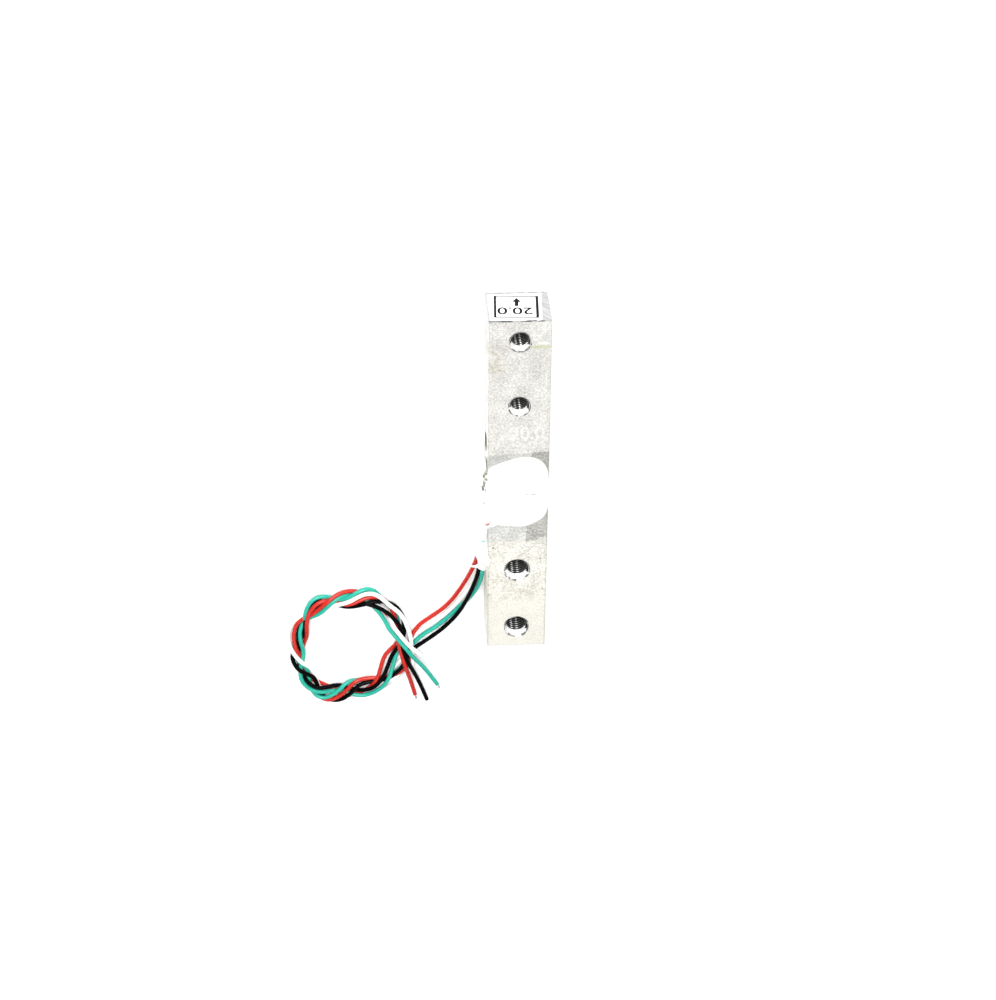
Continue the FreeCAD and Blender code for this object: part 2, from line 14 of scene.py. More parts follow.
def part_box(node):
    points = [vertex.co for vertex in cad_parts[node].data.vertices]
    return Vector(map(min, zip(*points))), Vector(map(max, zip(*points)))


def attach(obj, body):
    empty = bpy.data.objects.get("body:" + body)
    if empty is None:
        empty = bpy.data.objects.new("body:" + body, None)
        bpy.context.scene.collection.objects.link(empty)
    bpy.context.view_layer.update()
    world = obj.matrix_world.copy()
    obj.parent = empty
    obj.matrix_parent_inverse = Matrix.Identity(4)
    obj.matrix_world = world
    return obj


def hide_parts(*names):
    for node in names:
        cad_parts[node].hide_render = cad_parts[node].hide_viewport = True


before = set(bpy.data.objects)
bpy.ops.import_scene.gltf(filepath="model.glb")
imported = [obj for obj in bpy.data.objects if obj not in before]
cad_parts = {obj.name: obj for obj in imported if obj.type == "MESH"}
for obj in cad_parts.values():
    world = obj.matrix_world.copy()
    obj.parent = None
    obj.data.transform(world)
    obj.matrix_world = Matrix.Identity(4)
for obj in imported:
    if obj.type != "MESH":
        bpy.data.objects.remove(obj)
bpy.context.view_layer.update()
MM = 0.001


# ---- Table and light ----------------------------------------------------------------------------
# The cell lies on a plain white table. Softboxes stand high and low before its loading end, a small
# one stands beside them, and a large one hangs overhead. The walls are white, the ceiling is dim.
TABLE_HALF = 3.0


def grey(level):
    return (level, level, level, 1)


def put(name, data):
    """Stand a mesh, curve, lamp or camera in the scene."""
    made = bpy.data.objects.new(name, data)
    bpy.context.collection.objects.link(made)
    return made


corners = [(-1, -1), (1, -1), (1, 1), (-1, 1)]
table_mesh = bpy.data.meshes.new("table")
table_mesh.from_pydata([(x * TABLE_HALF, y * TABLE_HALF, 0.0) for x, y in corners], [], [(0, 1, 2, 3)])
put("table", table_mesh)


class Socket:
    """A node socket of one material or world; sums and products of it add Math nodes."""

    def __init__(self, tree, link=None):
        self.tree, self.link = tree, link

    def node(self, kind, settings=None, sockets=None, out=0):
        """Add a node: its settings first, then the values or links of its sockets."""
        made = self.tree.nodes.new(kind)
        for name, value in (settings or {}).items():
            setattr(made, name, value)
        for name, value in (sockets or {}).items():
            if isinstance(value, Socket):
                self.tree.links.new(value.link, made.inputs[name])
            else:
                made.inputs[name].default_value = value
        return Socket(self.tree, made.outputs[out])

    def math(self, operation, *values):
        return self.node("ShaderNodeMath", {"operation": operation}, dict(enumerate(values)))

    def mix(self, start, end):
        """Between two colours, by this socket as the factor."""
        return self.node("ShaderNodeMix", {"data_type": "RGBA"}, {0: self, 6: start, 7: end}, 2)

    def scaled(self, factor):
        """This colour, lighter or darker by a factor."""
        return self.node("ShaderNodeVectorMath", {"operation": "SCALE"}, {0: self, "Scale": factor})

    def step(self, low, high):
        """0 below low, 1 above high, smooth between."""
        return self.node("ShaderNodeMapRange", {"interpolation_type": "SMOOTHSTEP"},
                         {0: self, 1: low, 2: high, 3: 0.0, 4: 1.0})

    def between(self, low, high, soft):
        """1 from low to high, 0 outside, with soft edges of that width."""
        past = self.step(high - soft / 2, high + soft / 2)
        return self.step(low - soft / 2, low + soft / 2) * (1 - past)

    def place(self):
        """Where the surface lies: its x, y and z in millimetres."""
        here = self.node("ShaderNodeTexCoord", out=3)
        return [here.node("ShaderNodeSeparateXYZ", {}, {0: here}, out) * 1000.0 for out in range(3)]

    def noise(self, scale, detail=2.0, roughness=0.5, stretch=(1, 1, 1), turn=(0, 0, 0)):
        """Noise over the piece's own coordinates in metres; scale is in grains for each metre."""
        here = self.node("ShaderNodeTexCoord", out=3)
        here = here.node("ShaderNodeMapping", {}, {"Vector": here, "Rotation": turn})
        here = here.node("ShaderNodeMapping", {}, {"Vector": here, "Scale": stretch})
        return self.node("ShaderNodeTexNoise", {},
                         {"Vector": here, "Scale": scale, "Detail": detail, "Roughness": roughness})

    def __add__(self, other):
        return self.math("ADD", self, other)

    def __sub__(self, other):
        return self.math("SUBTRACT", self, other)

    def __rsub__(self, other):
        return self.math("SUBTRACT", other, self)

    def __mul__(self, other):
        return self.math("MULTIPLY", self, other)

    __radd__ = __add__
    __rmul__ = __mul__


def finish_of(name, colour, roughness, bump=None, bump_depth=0.00002, metallic=0.0, **fixed):
    """A material from its colour, roughness, bump and metallic, each a value or a worked-out socket.

    The arguments are functions of the material's own Socket where they vary over the surface.
    """
    made = bpy.data.materials.new(name)
    made.use_nodes = True
    tree = made.node_tree
    shader = tree.nodes["Principled BSDF"]
    here = Socket(tree)
    for key, value in (("Base Color", colour), ("Roughness", roughness), ("Metallic", metallic)):
        value = value(here) if callable(value) else value
        if isinstance(value, Socket):
            tree.links.new(value.link, shader.inputs[key])
        else:
            shader.inputs[key].default_value = value
    if bump:
        normal = here.node("ShaderNodeBump", {},
                           {"Height": bump(here), "Distance": bump_depth, "Strength": 1.0})
        tree.links.new(normal.link, shader.inputs["Normal"])
    for key, value in fixed.items():
        shader.inputs[key.replace("_", " ")].default_value = value
    return made


def mottled(dark, light, scale, detail=2.0, **grain):
    """A colour that wanders between two tones."""
    return lambda at: at.noise(scale, detail, **grain).mix(dark, light)


def uneven(base, spread, scale, detail=2.0):
    """A value that wanders between base and base + spread."""
    return lambda at: at.noise(scale, detail) * spread + base


table_mesh.materials.append(finish_of("table_white", grey(0.93), uneven(0.6, 0.1, 60.0)))

WALL_WHITE, CEILING_GREY = grey(1.0), grey(0.28)
DAYLIGHT = 0.62
world = bpy.data.worlds.new("studio")
bpy.context.scene.world = world
world.use_nodes = True
air = Socket(world.node_tree)
aloft = air.node("ShaderNodeSeparateXYZ", {}, {0: air.node("ShaderNodeTexCoord")}, 2)
backdrop = aloft.step(0.15, 0.55).mix(WALL_WHITE, CEILING_GREY)
world.node_tree.links.new(backdrop.link, world.node_tree.nodes["Background"].inputs["Color"])
world.node_tree.nodes["Background"].inputs["Strength"].default_value = DAYLIGHT


def softbox(name, place, width, watts):
    """A square lamp that faces the cell."""
    lamp = bpy.data.lights.new(name, "AREA")
    lamp.size, lamp.energy = width, watts
    box = put(name, lamp)
    box.location = place
    box.rotation_euler = (-Vector(place)).to_track_quat("-Z", "Y").to_euler()


softbox("key_light", (-0.09, 0.37, 0.61), 0.34, 6.2)
softbox("side_light", (0.36, 0.34, 0.58), 0.16, 1.0)
softbox("front_light", (-0.06, 0.62, 0.36), 0.30, 1.3)
softbox("overhead_light", (0.0, -0.30, 0.90), 0.90, 4.0)
bpy.context.scene.view_settings.view_transform = "Standard"

# ---- Camera -------------------------------------------------------------------------------------
# It looks down on the cell from beyond the loading end, held so that this end is uppermost.
LENS, SENSOR = 75.9, 36.0
STANDPOINT = (-27.74, 236.55, 381.19)
camera_data = bpy.data.cameras.new("camera")
camera_data.sensor_width = SENSOR
camera_data.sensor_fit = "HORIZONTAL"
camera_data.lens = LENS
camera_data.clip_start = 0.01
camera = put("camera", camera_data)
ahead = Vector((0.0577, -0.5434, -0.8375)).normalized()
right = ahead.cross(Vector((0.0286, 0.8394, -0.5427))).normalized()
upward = right.cross(ahead)
camera.matrix_world = Matrix.Translation(Vector(STANDPOINT) * MM) @ Matrix(
    [(right[i], upward[i], -ahead[i]) for i in range(3)]).to_4x4()
bpy.context.scene.camera = camera

# ---- Beam ---------------------------------------------------------------------------------------
# A sawn length of extruded aluminium bar. The binocular cut-out is milled through it from side to
# side, two tapped holes go down each end, and the middle of its top is ground for the gauges.
beam_low, beam_high = [Vector(corner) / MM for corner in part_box("beam")]
BEAM_AXIS = (beam_low.x + beam_high.x) / 2
SIDE, TOP, BASE, END = beam_low.x, beam_high.z, beam_low.z, beam_high.y
MID = (TOP + BASE) / 2
EDGE_ROUND, END_ROUND = 0.25, 0.08
LOBE_RADIUS, LOBE_Y, SLOT_HALF, LOBE_STEPS = 4.7, 5.5, 2.0, 48
BORE_STEPS = 64
ROWS_EACH_PITCH = 8
PLUG_REACH = 0.3        # how far a plug stands out of the bar that it is cut from
# y, bore, major diameter, pitch, countersink, how rough its rim is
TAPPED = ((35.3, 3.4, 4.05, 0.7, 4.75, 0.05), (20.45, 3.4, 4.05, 0.7, 4.75, 0.05),
          (-20.0, 4.2, 5.0, 0.8, 5.7, 0.06), (-35.0, 4.2, 5.0, 0.8, 5.5, 0.22))


def finished(name, built):
    """The mesh of what was built up."""
    made = bpy.data.meshes.new(name)
    built.to_mesh(made)
    built.free()
    return made


def closed_grid(name, *stacks):
    """Closed bodies, each from a stack of rings of points, with a flat cap on its first and last ring."""
    grid = bmesh.new()
    for rings in stacks:
        rows = [[grid.verts.new(Vector(point) * MM) for point in ring] for ring in rings]
        for low, high in zip(rows, rows[1:]):
            for k in range(len(low)):
                after = (k + 1) % len(low)
                grid.faces.new((low[k], low[after], high[after], high[k]))
        grid.faces.new(rows[0][::-1])
        grid.faces.new(rows[-1])
    bmesh.ops.recalc_face_normals(grid, faces=grid.faces)
    return finished(name, grid)


def tapped_plug(name, y, bore, major, pitch, countersink, rough):
    """The space inside one tapped hole: the thread's grooves, and a cone at both mouths."""
    tall = TOP - BASE + 2 * PLUG_REACH
    rows = round(tall / pitch * ROWS_EACH_PITCH)
    rings = []
    for row in range(rows + 1):
        z = BASE - PLUG_REACH + tall * row / rows
        ring = []
        for k in range(BORE_STEPS):
            turn = k / BORE_STEPS
            across, along = math.cos(turn * math.tau), math.sin(turn * math.tau)
            groove = 1 - abs(2 * ((z / pitch - turn) % 1.0) - 1)
            thread = bore / 2 + (major - bore) / 2 * min(1.0, max(0.0, (groove - 0.12) / 0.76))
            ragged = rough * noise.noise(Vector((across, along, y)) * 1.7)
            depth = min(TOP - z, z - BASE)
            radius = max(thread, countersink / 2 + ragged - depth)
            ring.append((BEAM_AXIS + radius * across, y + radius * along, z))
        rings.append(ring)
    return closed_grid(name, rings)


def binocular_plug():
    """The space of the cut-out, right through the bar: two round lobes joined by a slot."""
    outline = []
    meet = math.asin(SLOT_HALF / LOBE_RADIUS)
    for side in (1, -1):
        for k in range(LOBE_STEPS + 1):
            angle = (math.pi - meet) * (2 * k / LOBE_STEPS - 1)
            if side < 0:
                angle += math.pi
            outline.append((side * LOBE_Y + LOBE_RADIUS * math.cos(angle), LOBE_RADIUS * math.sin(angle)))
    return closed_grid("cut_out", [[(x, y, MID + z) for y, z in outline]
                                   for x in (SIDE - 1.0, beam_high.x + 1.0)])


def bar_blank():
    """The sawn bar: long edges rounded by the extrusion, end edges only deburred."""
    bar = bmesh.new()
    bmesh.ops.create_cube(bar, size=1.0)
    for vertex in bar.verts:
        vertex.co = [(low + high) / 2 * MM + share * (high - low) * MM
                     for share, low, high in zip(vertex.co, beam_low, beam_high)]
    long_edges = [e for e in bar.edges if abs(e.verts[0].co.y - e.verts[1].co.y) > MM]
    bmesh.ops.bevel(bar, geom=long_edges, offset=EDGE_ROUND * MM, segments=3, profile=0.5, affect="EDGES")
    end_edges = [e for e in bar.edges
                 if all(abs(abs(v.co.y) - END * MM) < 1e-7 for v in e.verts) and len(e.link_faces) == 2
                 and any(abs(f.normal.y) < 0.5 for f in e.link_faces)]
    bmesh.ops.bevel(bar, geom=end_edges, offset=END_ROUND * MM, segments=2, profile=0.5, affect="EDGES")
    return finished("bar", bar)


def show(name, shape, *materials):
    """Put a mesh or curve in the scene as a piece of the cell, with its materials."""
    for material in materials:
        shape.materials.append(material)
    return put(name, shape)


def fix_on(piece, grip, *nodes):
    """Fix a piece to the cell's one body, in place of those solids."""
    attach(piece, "root")
    if nodes:
        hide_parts(*nodes)


def worked_out(thing):
    """The plain mesh that a thing's modifiers or lettering give."""
    return bpy.data.meshes.new_from_object(thing.evaluated_get(bpy.context.evaluated_depsgraph_get()))


def cut(piece, tool_mesh, material_slot):
    """Take a plug's space out of a piece for good; the new walls get that material slot."""
    for polygon in tool_mesh.polygons:
        polygon.material_index = material_slot
    for material in piece.data.materials:
        tool_mesh.materials.append(material)
    tool = put("tool", tool_mesh)
    taken = piece.modifiers.new("cut", "BOOLEAN")
    taken.operation, taken.solver, taken.object = "DIFFERENCE", "MANIFOLD", tool
    fresh = worked_out(piece)
    piece.modifiers.clear()
    piece.data = fresh
    bpy.data.objects.remove(tool)


# The top is greyer towards the loading end and creamier beyond the ground patch. The patch is
# lapped in two strokes, of which the one along the far edge was coarser and looks darker.
PLAIN_GREY, PLAIN_PALE = (0.53, 0.522, 0.495, 1), (0.548, 0.54, 0.508, 1)
PLAIN_CREAM = (0.68, 0.665, 0.602, 1)
LAPPED_PALE, LAPPED_DARK = (0.575, 0.58, 0.56, 1), (0.395, 0.39, 0.36, 1)
STAIN_OLIVE, STAIN_BROWN = (0.40, 0.43, 0.22, 1), (0.38, 0.34, 0.27, 1)
SPECK, SCRATCH, SCRAPED = grey(0.07), (0.34, 0.33, 0.30, 1), (0.85, 0.85, 0.84, 1)
END_PALE, END_DARK = (0.48, 0.48, 0.475, 1), (0.20, 0.20, 0.21, 1)
LAPPED_FROM = -12.0     # the end of the ground patch from which its strokes darken
# The sides are painted paler than the top and the loading end, as painted light for the lamps they face less.
SIDE_PAINTED_LIGHT = 0.25        # how much paler the sides are than the top and the loading end
SAW_TURN = (0, -0.7, 0)


def on_top(at):
    """1 on the bar's top face, 0 on its sides and inside its holes."""
    return at.place()[2].step(TOP - 0.12, TOP - 0.04)


def on_loading_end(at):
    return at.place()[1].step(END - 0.06, END - 0.02)


def beyond_patch(at):
    """0 beyond the ground patch, towards the fixed end, and 1 elsewhere."""
    return (at.place()[1] + at.noise(170.0, 4.0, 0.6) * 3.0).step(-14.0, -9.0)


def coarse_patch(at):
    """The darker half of the ground patch, along the bar's far edge."""
    x, y, z = at.place()
    ragged = at.noise(900.0, 3.0) * 1.2 - 0.6
    inner = (x - y * 0.042 + ragged * 0.15).step(4.05, 4.14)
    lower = (y - x * 0.42 + ragged).step(-14.75, -14.5)
    return inner * lower * (1 - (y - x * 0.03 + ragged * 0.25).step(9.2, 9.4))


def fine_patch(at):
    """The paler half of the ground patch, with a soft edge where the lapping ran out."""
    x, y, z = at.place()
    ragged = at.noise(700.0, 3.0) * 0.8 - 0.4
    upper = 1 - (y + ragged * 0.2 - x * 0.052).step(9.0, 9.15)
    return (y + ragged * 0.4 - x * 0.03).step(-12.5, -12.1) * upper


def bare_metal(at):
    """The extruded skin: grey, pale and cream in turn, and stained in two places."""
    x, y, z = at.place()
    cloud = at.noise(170.0, 4.0, 0.6)
    metal = (y + cloud * 20.0).step(12.0, 46.0).mix(PLAIN_PALE, PLAIN_GREY)
    metal = beyond_patch(at).mix(PLAIN_CREAM, metal)
    worn = (y - cloud * 8.0 + 27.0).between(-5.0, 3.0, 4.0) * at.noise(520.0, 4.0, 0.7).step(0.48, 0.66)
    metal = (worn * 0.42).mix(metal, STAIN_BROWN)
    patina = (y - 31.5).between(-3.0, 3.0, 3.0) * (x + 3.2).between(-2.0, 2.0, 2.0)
    return (patina * at.noise(600.0, 3.0).step(0.40, 0.62) * 0.60).mix(metal, STAIN_BROWN)


def lapped(at, metal):
    """The ground patch over the bare metal: the fine stroke, the line it began at, the coarse stroke."""
    x, y, z = at.place()
    along = y - LAPPED_FROM
    lines = at.noise(2600.0, 3.0, 0.6, stretch=(1, 0.03, 1)).step(0.36, 0.66)
    pale = (lines * 0.35).mix(LAPPED_PALE, PLAIN_PALE).scaled(0.98 - along * 0.011)
    faced = (fine_patch(at) * on_top(at)).mix(metal, pale)
    upper_line = (y - x * 0.052).between(8.95, 9.2, 0.15) * at.noise(600.0).step(0.35, 0.55)
    faced = (upper_line * on_top(at) * 0.45).mix(faced, LAPPED_DARK)
    coarse = coarse_patch(at) * on_top(at)
    return coarse.mix(faced, LAPPED_DARK).scaled(1 - coarse * along * 0.013)


def grain_shade(at):
    """How light the grain is: speckled, flecked and pitted, more so beyond the patch, calm at the end."""
    speckle = at.noise(2300.0, 3.0, 0.7).step(0.36, 0.64)
    flecks = at.noise(1500.0, 3.0, 0.7).step(0.55, 0.75)
    pits = at.noise(1700.0, 2.0, 0.6).step(0.62, 0.72) * (1 - fine_patch(at) * 0.7)
    drift = at.noise(330.0, 4.0, 0.6).step(0.3, 0.7)
    shade = 0.69 + speckle * 0.38 + flecks * 0.24 + drift * 0.20 - pits * 0.26
    shade = shade + coarse_patch(at) * on_top(at) * (speckle - 0.5) * 0.2
    shade = shade - (1 - beyond_patch(at)) * pits * 0.25
    smooth_end = 1 - (at.place()[1] + at.noise(170.0, 4.0, 0.6) * 6.0).step(-29.0, -20.0)
    return shade + smooth_end * 0.6 * (0.99 - shade)


def sawn_ends(at, faced):
    """Saw lines and a burr on the loading end, and a grey line along the fixed end's edge."""
    x, y, z = at.place()
    sawn = at.noise(3200.0, 2.0, stretch=(1, 1, 0.05), turn=SAW_TURN).step(0.38, 0.62)
    faced = on_loading_end(at).mix(faced, END_PALE)
    faced = (on_loading_end(at) * sawn * 0.5).mix(faced, END_DARK)
    far_edge = (1 - y.step(-END + 0.10, -END + 0.35)) * at.noise(900.0).step(0.3, 0.5)
    faced = (far_edge * 0.45).mix(faced, LAPPED_DARK)
    burr = at.noise(1100.0, 2.0).step(0.35, 0.6) * y.step(END - 0.3, END) * (1 - z.step(0.95, 1.25))
    return (burr * 0.75).mix(faced, SPECK)


def blemishes_and_edge_shadow(at, faced):
    """What marks the top: an olive streak by one hole, a curved scratch and a speck by another, and painted
    shadow on the end's burr.
    """
    x, y, z = at.place()
    olive = (y + at.noise(700.0) * 0.5).between(34.05, 34.75, 0.4) * x.step(2.6, 4.4)
    faced = (olive * (0.35 + at.noise(900.0) * 0.6) * on_top(at)).mix(faced, STAIN_OLIVE)
    scrape = x.between(5.4, 7.4, 0.5) * (y + at.noise(700.0) * 0.4).between(35.0, 35.5, 0.2)
    faced = (scrape * on_top(at) * at.noise(1500.0).step(0.4, 0.5)).mix(faced, SCRAPED)
    off_line = y + 17.19 - x * 0.255 - x * x * 0.07
    scratch = off_line.between(-0.07, 0.07, 0.06) * x.between(1.6, 5.9, 0.6)
    faced = (scratch * on_top(at) * 0.85).mix(faced, SCRATCH)
    # A dark line along the loading end's top edge: the saw's burr, darkened further by painted shadow under
    # the sticker's edge.
    burr_and_shadow = x.between(-4.6, 6.6, 0.2) * (0.25 + at.noise(500.0, 2.0).step(0.42, 0.6) * 0.75)
    faced = (burr_and_shadow * y.step(END - 0.16, END - 0.09) * z.step(13.2, 13.3)).mix(faced, SPECK)
    from_speck = (x + 3.35) * (x + 3.35) + (y + 14.15) * (y + 14.15) + at.noise(2500.0) * 0.08
    return ((1 - from_speck.step(0.05, 0.12)) * on_top(at) * 0.85).mix(faced, SPECK)


def bar_colour(at):
    """The whole bar, from its bare metal to its blemishes, with its sides painted paler as painted light."""
    faced = sawn_ends(at, lapped(at, bare_metal(at)).scaled(grain_shade(at)))
    # Painted light: the sides are painted paler, since they catch less of the lamps.
    top_or_end = on_top(at).math("MAXIMUM", on_top(at), on_loading_end(at))
    return blemishes_and_edge_shadow(at, faced.scaled(1 + SIDE_PAINTED_LIGHT - top_or_end * SIDE_PAINTED_LIGHT))


def bar_relief(at):
    """Pits and tool marks: sanded grain, lapping lines on the patch, saw lines on the loading end."""
    grain = at.noise(2300.0, 3.0, 0.65)
    lapping = at.noise(4200.0, 3.0, 0.6, stretch=(1, 0.03, 1)) * fine_patch(at) * on_top(at)
    sawn = at.noise(1500.0, 2.0, stretch=(1, 1, 0.05), turn=SAW_TURN) * on_loading_end(at)
    return grain * 0.8 + lapping * 1.2 + sawn * 3.0


mill_finish = finish_of("mill_finish", bar_colour,
                        lambda at: at.noise(1500.0, 3.0) * 0.2 + 0.36 - coarse_patch(at) * 0.06,
                        bar_relief, 0.00004, metallic=0.5)
# Thread colours: painted shade in the grooves and painted highlight on the crests.
THREAD_PAINTED_SHADE, CREST_PAINTED_HIGHLIGHT = grey(0.002), (0.88, 0.88, 0.87, 1)
# Chamfer colours, dull and polished; the polished one is also the painted highlight where a hole faces the
# lamps.
MOUTH_POLISH_AND_HIGHLIGHT, MOUTH_DULL = (0.90, 0.90, 0.89, 1), (0.22, 0.22, 0.21, 1)
LOAD_BORE, FIXED_BORE = TAPPED[0][1] / 2, TAPPED[3][1] / 2


def tapped_colour(at):
    """Painted shade darkens the thread's grooves; its crests are painted lighter, with two painted highlights
    down them.
    """
    x, y, z = at.place()
    aside = x - BEAM_AXIS
    hole_y = TAPPED[3][0] + y.step(-28.0, -27.0) * (TAPPED[2][0] - TAPPED[3][0])
    hole_y = hole_y + y.step(-1.0, 1.0) * (TAPPED[1][0] - TAPPED[2][0])
    from_hole = y - hole_y - y.step(27.0, 28.0) * (TAPPED[0][0] - TAPPED[1][0])
    reach = aside.math("SQRT", aside * aside + from_hole * from_hole)
    bore = FIXED_BORE - y.step(-1.0, 1.0) * (FIXED_BORE - LOAD_BORE)
    crest = 1 - (reach - bore).step(0.04, 0.13)
    across = aside * reach.math("DIVIDE", 1.0, bore)
    # Two streaks of painted highlight run down the crests.
    highlight_streaks = across.between(-0.50, -0.28, 0.1) + across.between(0.06, 0.26, 0.1)
    thread = (crest * (0.14 + highlight_streaks * 0.85)).mix(THREAD_PAINTED_SHADE, CREST_PAINTED_HIGHLIGHT)
    # The side of each hole that faces the lamps: painted highlight on its upper bore wall, and a brighter
    # chamfer.
    facing_lamps = (0 - from_hole - across * 0.25 + at.noise(900.0) * 0.5).step(0.75, 1.05)
    lit_crescent = (z + at.noise(900.0) * 0.4).step(TOP - 2.0, TOP - 1.5) * facing_lamps
    lip = z.step(TOP - 0.42, TOP - 0.30)
    torn_rim = z.step(TOP - 0.24, TOP - 0.14) * at.noise(1300.0, 2.0).step(0.42, 0.56)
    polished_and_lit = at.noise(1100.0, 2.0).step(0.40, 0.55) * (0.45 + facing_lamps * 0.55)
    mouth = lip.mix(lit_crescent.mix(thread, MOUTH_POLISH_AND_HIGHLIGHT), polished_and_lit.mix(MOUTH_DULL, MOUTH_POLISH_AND_HIGHLIGHT))
    return (torn_rim * 0.85).mix(mouth, SPECK)


tapped_finish = finish_of("tapped_wall", tapped_colour, uneven(0.22, 0.1, 2000.0),
                          lambda at: at.noise(5000.0, stretch=(1, 1, 4)), 0.000008, metallic=0.35,
                          Specular_IOR_Level=0.1)
milled_wall = finish_of(
    "milled_wall", mottled((0.30, 0.30, 0.28, 1), (0.52, 0.51, 0.47, 1), 1500.0, 3.0, stretch=(0.08, 1, 1)),
    uneven(0.35, 0.15, 900.0), lambda at: at.noise(2500.0, stretch=(0.05, 1, 1)), 0.00002, metallic=1.0)
SHARP_ANGLE = 38
FLAT_AREA = 20.0        # faces larger than this are flat ones

beam = show("load_beam", bar_blank(), mill_finish, tapped_finish, milled_wall)
cut(beam, binocular_plug(), 2)
for hole in TAPPED:
    cut(beam, tapped_plug("tapped_hole", *hole), 1)
beam.data.shade_smooth()
beam.data.set_sharp_from_angle(angle=math.radians(SHARP_ANGLE))
for polygon in beam.data.polygons:
    if polygon.area > FLAT_AREA * MM * MM:
        polygon.use_smooth = False
fix_on(beam, "aluminium", "beam")

# The rating is marked faintly on the top, in plain figures.
FIGURES, FIGURE_HEIGHT, FIGURES_WIDTH = "20.0", 3.0, 7.1
STROKE_GAIN = 0.012     # how much bolder the figures' strokes are than the plain face


def figures(name, place, turn, thick, material):
    """Flat figures, laid on a face with their middle at place."""
    type_set = bpy.data.curves.new(name, "FONT")
    type_set.body = FIGURES
    type_set.align_x = "CENTER"
    type_set.align_y = "CENTER"
    type_set.extrude = thick / 2 * MM
    type_set.offset = STROKE_GAIN
    setting = put(name, type_set)
    mesh = worked_out(setting)
    bpy.data.objects.remove(setting)
    across = [vertex.co.x for vertex in mesh.vertices]
    along = [vertex.co.y for vertex in mesh.vertices]
    middle = Vector(((max(across) + min(across)) / 2, (max(along) + min(along)) / 2, 0))
    stretch = Matrix.Diagonal((FIGURES_WIDTH / (max(across) - min(across)) * MM,
                               FIGURE_HEIGHT / (max(along) - min(along)) * MM, 1, 1))
    mesh.transform(Matrix.Translation(Vector(place) * MM) @ turn.to_4x4() @ stretch
                   @ Matrix.Translation(-middle))
    return show(name, mesh, material)


faint_mark = finish_of("faint_mark", lambda at: at.noise(2600.0, 3.0).step(0.35, 0.65).mix(
    (0.54, 0.54, 0.52, 1), (0.70, 0.70, 0.69, 1)), lambda at: at.noise(2000.0) * 0.2 + 0.35, metallic=0.5)
fix_on(figures("face_figures", (3.5, 14.1, TOP + 0.006), Matrix.Identity(3), 0.01, faint_mark), "aluminium")

# ---- Gauges, jumpers, terminal strip and solder -------------------------------------------------
# Four etched foil gauges on amber film are bonded over the thin walls of the cut-out. Enamelled
# jumpers lead to a copper-clad strip at the bar's edge, where the four wires are soldered.
def dress(material, *nodes):
    """Give solids of the model a finish."""
    for node in nodes:
        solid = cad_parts[node]
        if not solid.data.materials:
            solid.data.materials.append(material)
        for held in solid.material_slots:
            held.material = material


GAUGES = ("top_front", "top_rear", "bottom_front", "bottom_rear")
FILM_CORNER, FILM_TRIM = 0.5, 0.95
amber = finish_of("amber_film", mottled((0.50, 0.25, 0.06, 1), (0.68, 0.38, 0.12, 1), 1500.0, 3.0),
                  uneven(0.3, 0.1, 900.0), lambda at: at.noise(3000.0), 0.000005)
for gauge in GAUGES:
    low, high = [Vector(corner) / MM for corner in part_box(f"gauge_backing_{gauge}")]
    if gauge.endswith("front"):
        high.y -= FILM_TRIM
    outline = []
    for x, y, turns in ((high.x, high.y, 0), (low.x, high.y, 1), (low.x, low.y, 2), (high.x, low.y, 3)):
        inward = Vector(((low.x + high.x) / 2 - x, (low.y + high.y) / 2 - y))
        centre = (x + math.copysign(FILM_CORNER, inward.x), y + math.copysign(FILM_CORNER, inward.y))
        for k in range(5):
            angle = (turns + k / 4) * math.pi / 2
            outline.append((centre[0] + FILM_CORNER * math.cos(angle),
                            centre[1] + FILM_CORNER * math.sin(angle)))
    film = closed_grid("film", [[(x, y, z) for x, y in outline] for z in (low.z, high.z)])
    fix_on(show(f"gauge_film_{gauge}", film, amber), "gauge_backing", f"gauge_backing_{gauge}")
dress(finish_of("etched_foil", mottled((0.62, 0.50, 0.42, 1), (0.80, 0.72, 0.64, 1), 4000.0, 3.0),
                uneven(0.25, 0.2, 5000.0), lambda at: at.noise(9000.0), 0.000003, metallic=1.0),
      *(f"gauge_grid_{gauge}" for gauge in GAUGES))
dress(finish_of("enamelled_wire", mottled((0.42, 0.10, 0.03, 1), (0.62, 0.20, 0.06, 1), 3000.0),
                uneven(0.2, 0.1, 6000.0), lambda at: at.noise(5000.0), 0.000004, metallic=0.8),
      *(f"jumper_{gauge}_{end}" for gauge in GAUGES for end in "ab"))

WIRE_COLOURS = ("red", "green", "black", "white")
STRIP_START, PAD_FIRST, PAD_PITCH, PAD_HALF = -8.2, 0.7, 1.35, 0.45


def strip_colour(at):
    """Green laminate with a tinned copper pad at each joint."""
    x, y, z = at.place()
    along = (y - STRIP_START - PAD_FIRST + PAD_PITCH / 2) * (1 / PAD_PITCH)
    beat = along - along.math("FLOOR", along)
    pad = beat.between(0.5 - PAD_HALF / PAD_PITCH, 0.5 + PAD_HALF / PAD_PITCH, 0.04)
    laminate = at.noise(2000.0, 3.0).mix((0.02, 0.12, 0.05, 1), (0.04, 0.20, 0.08, 1))
    return pad.mix(laminate, (0.72, 0.55, 0.38, 1))


dress(finish_of("strip_laminate", strip_colour, uneven(0.35, 0.15, 1800.0),
                lambda at: at.noise(3500.0, stretch=(1, 3, 1)), 0.000006), "terminal_strip")
dress(finish_of("solder", mottled(grey(0.52), (0.78, 0.78, 0.77, 1), 2500.0, 3.0),
                uneven(0.15, 0.2, 3000.0), lambda at: at.noise(2500.0), 0.00001, metallic=1.0),
      *(f"solder_joint_{colour}" for colour in WIRE_COLOURS))

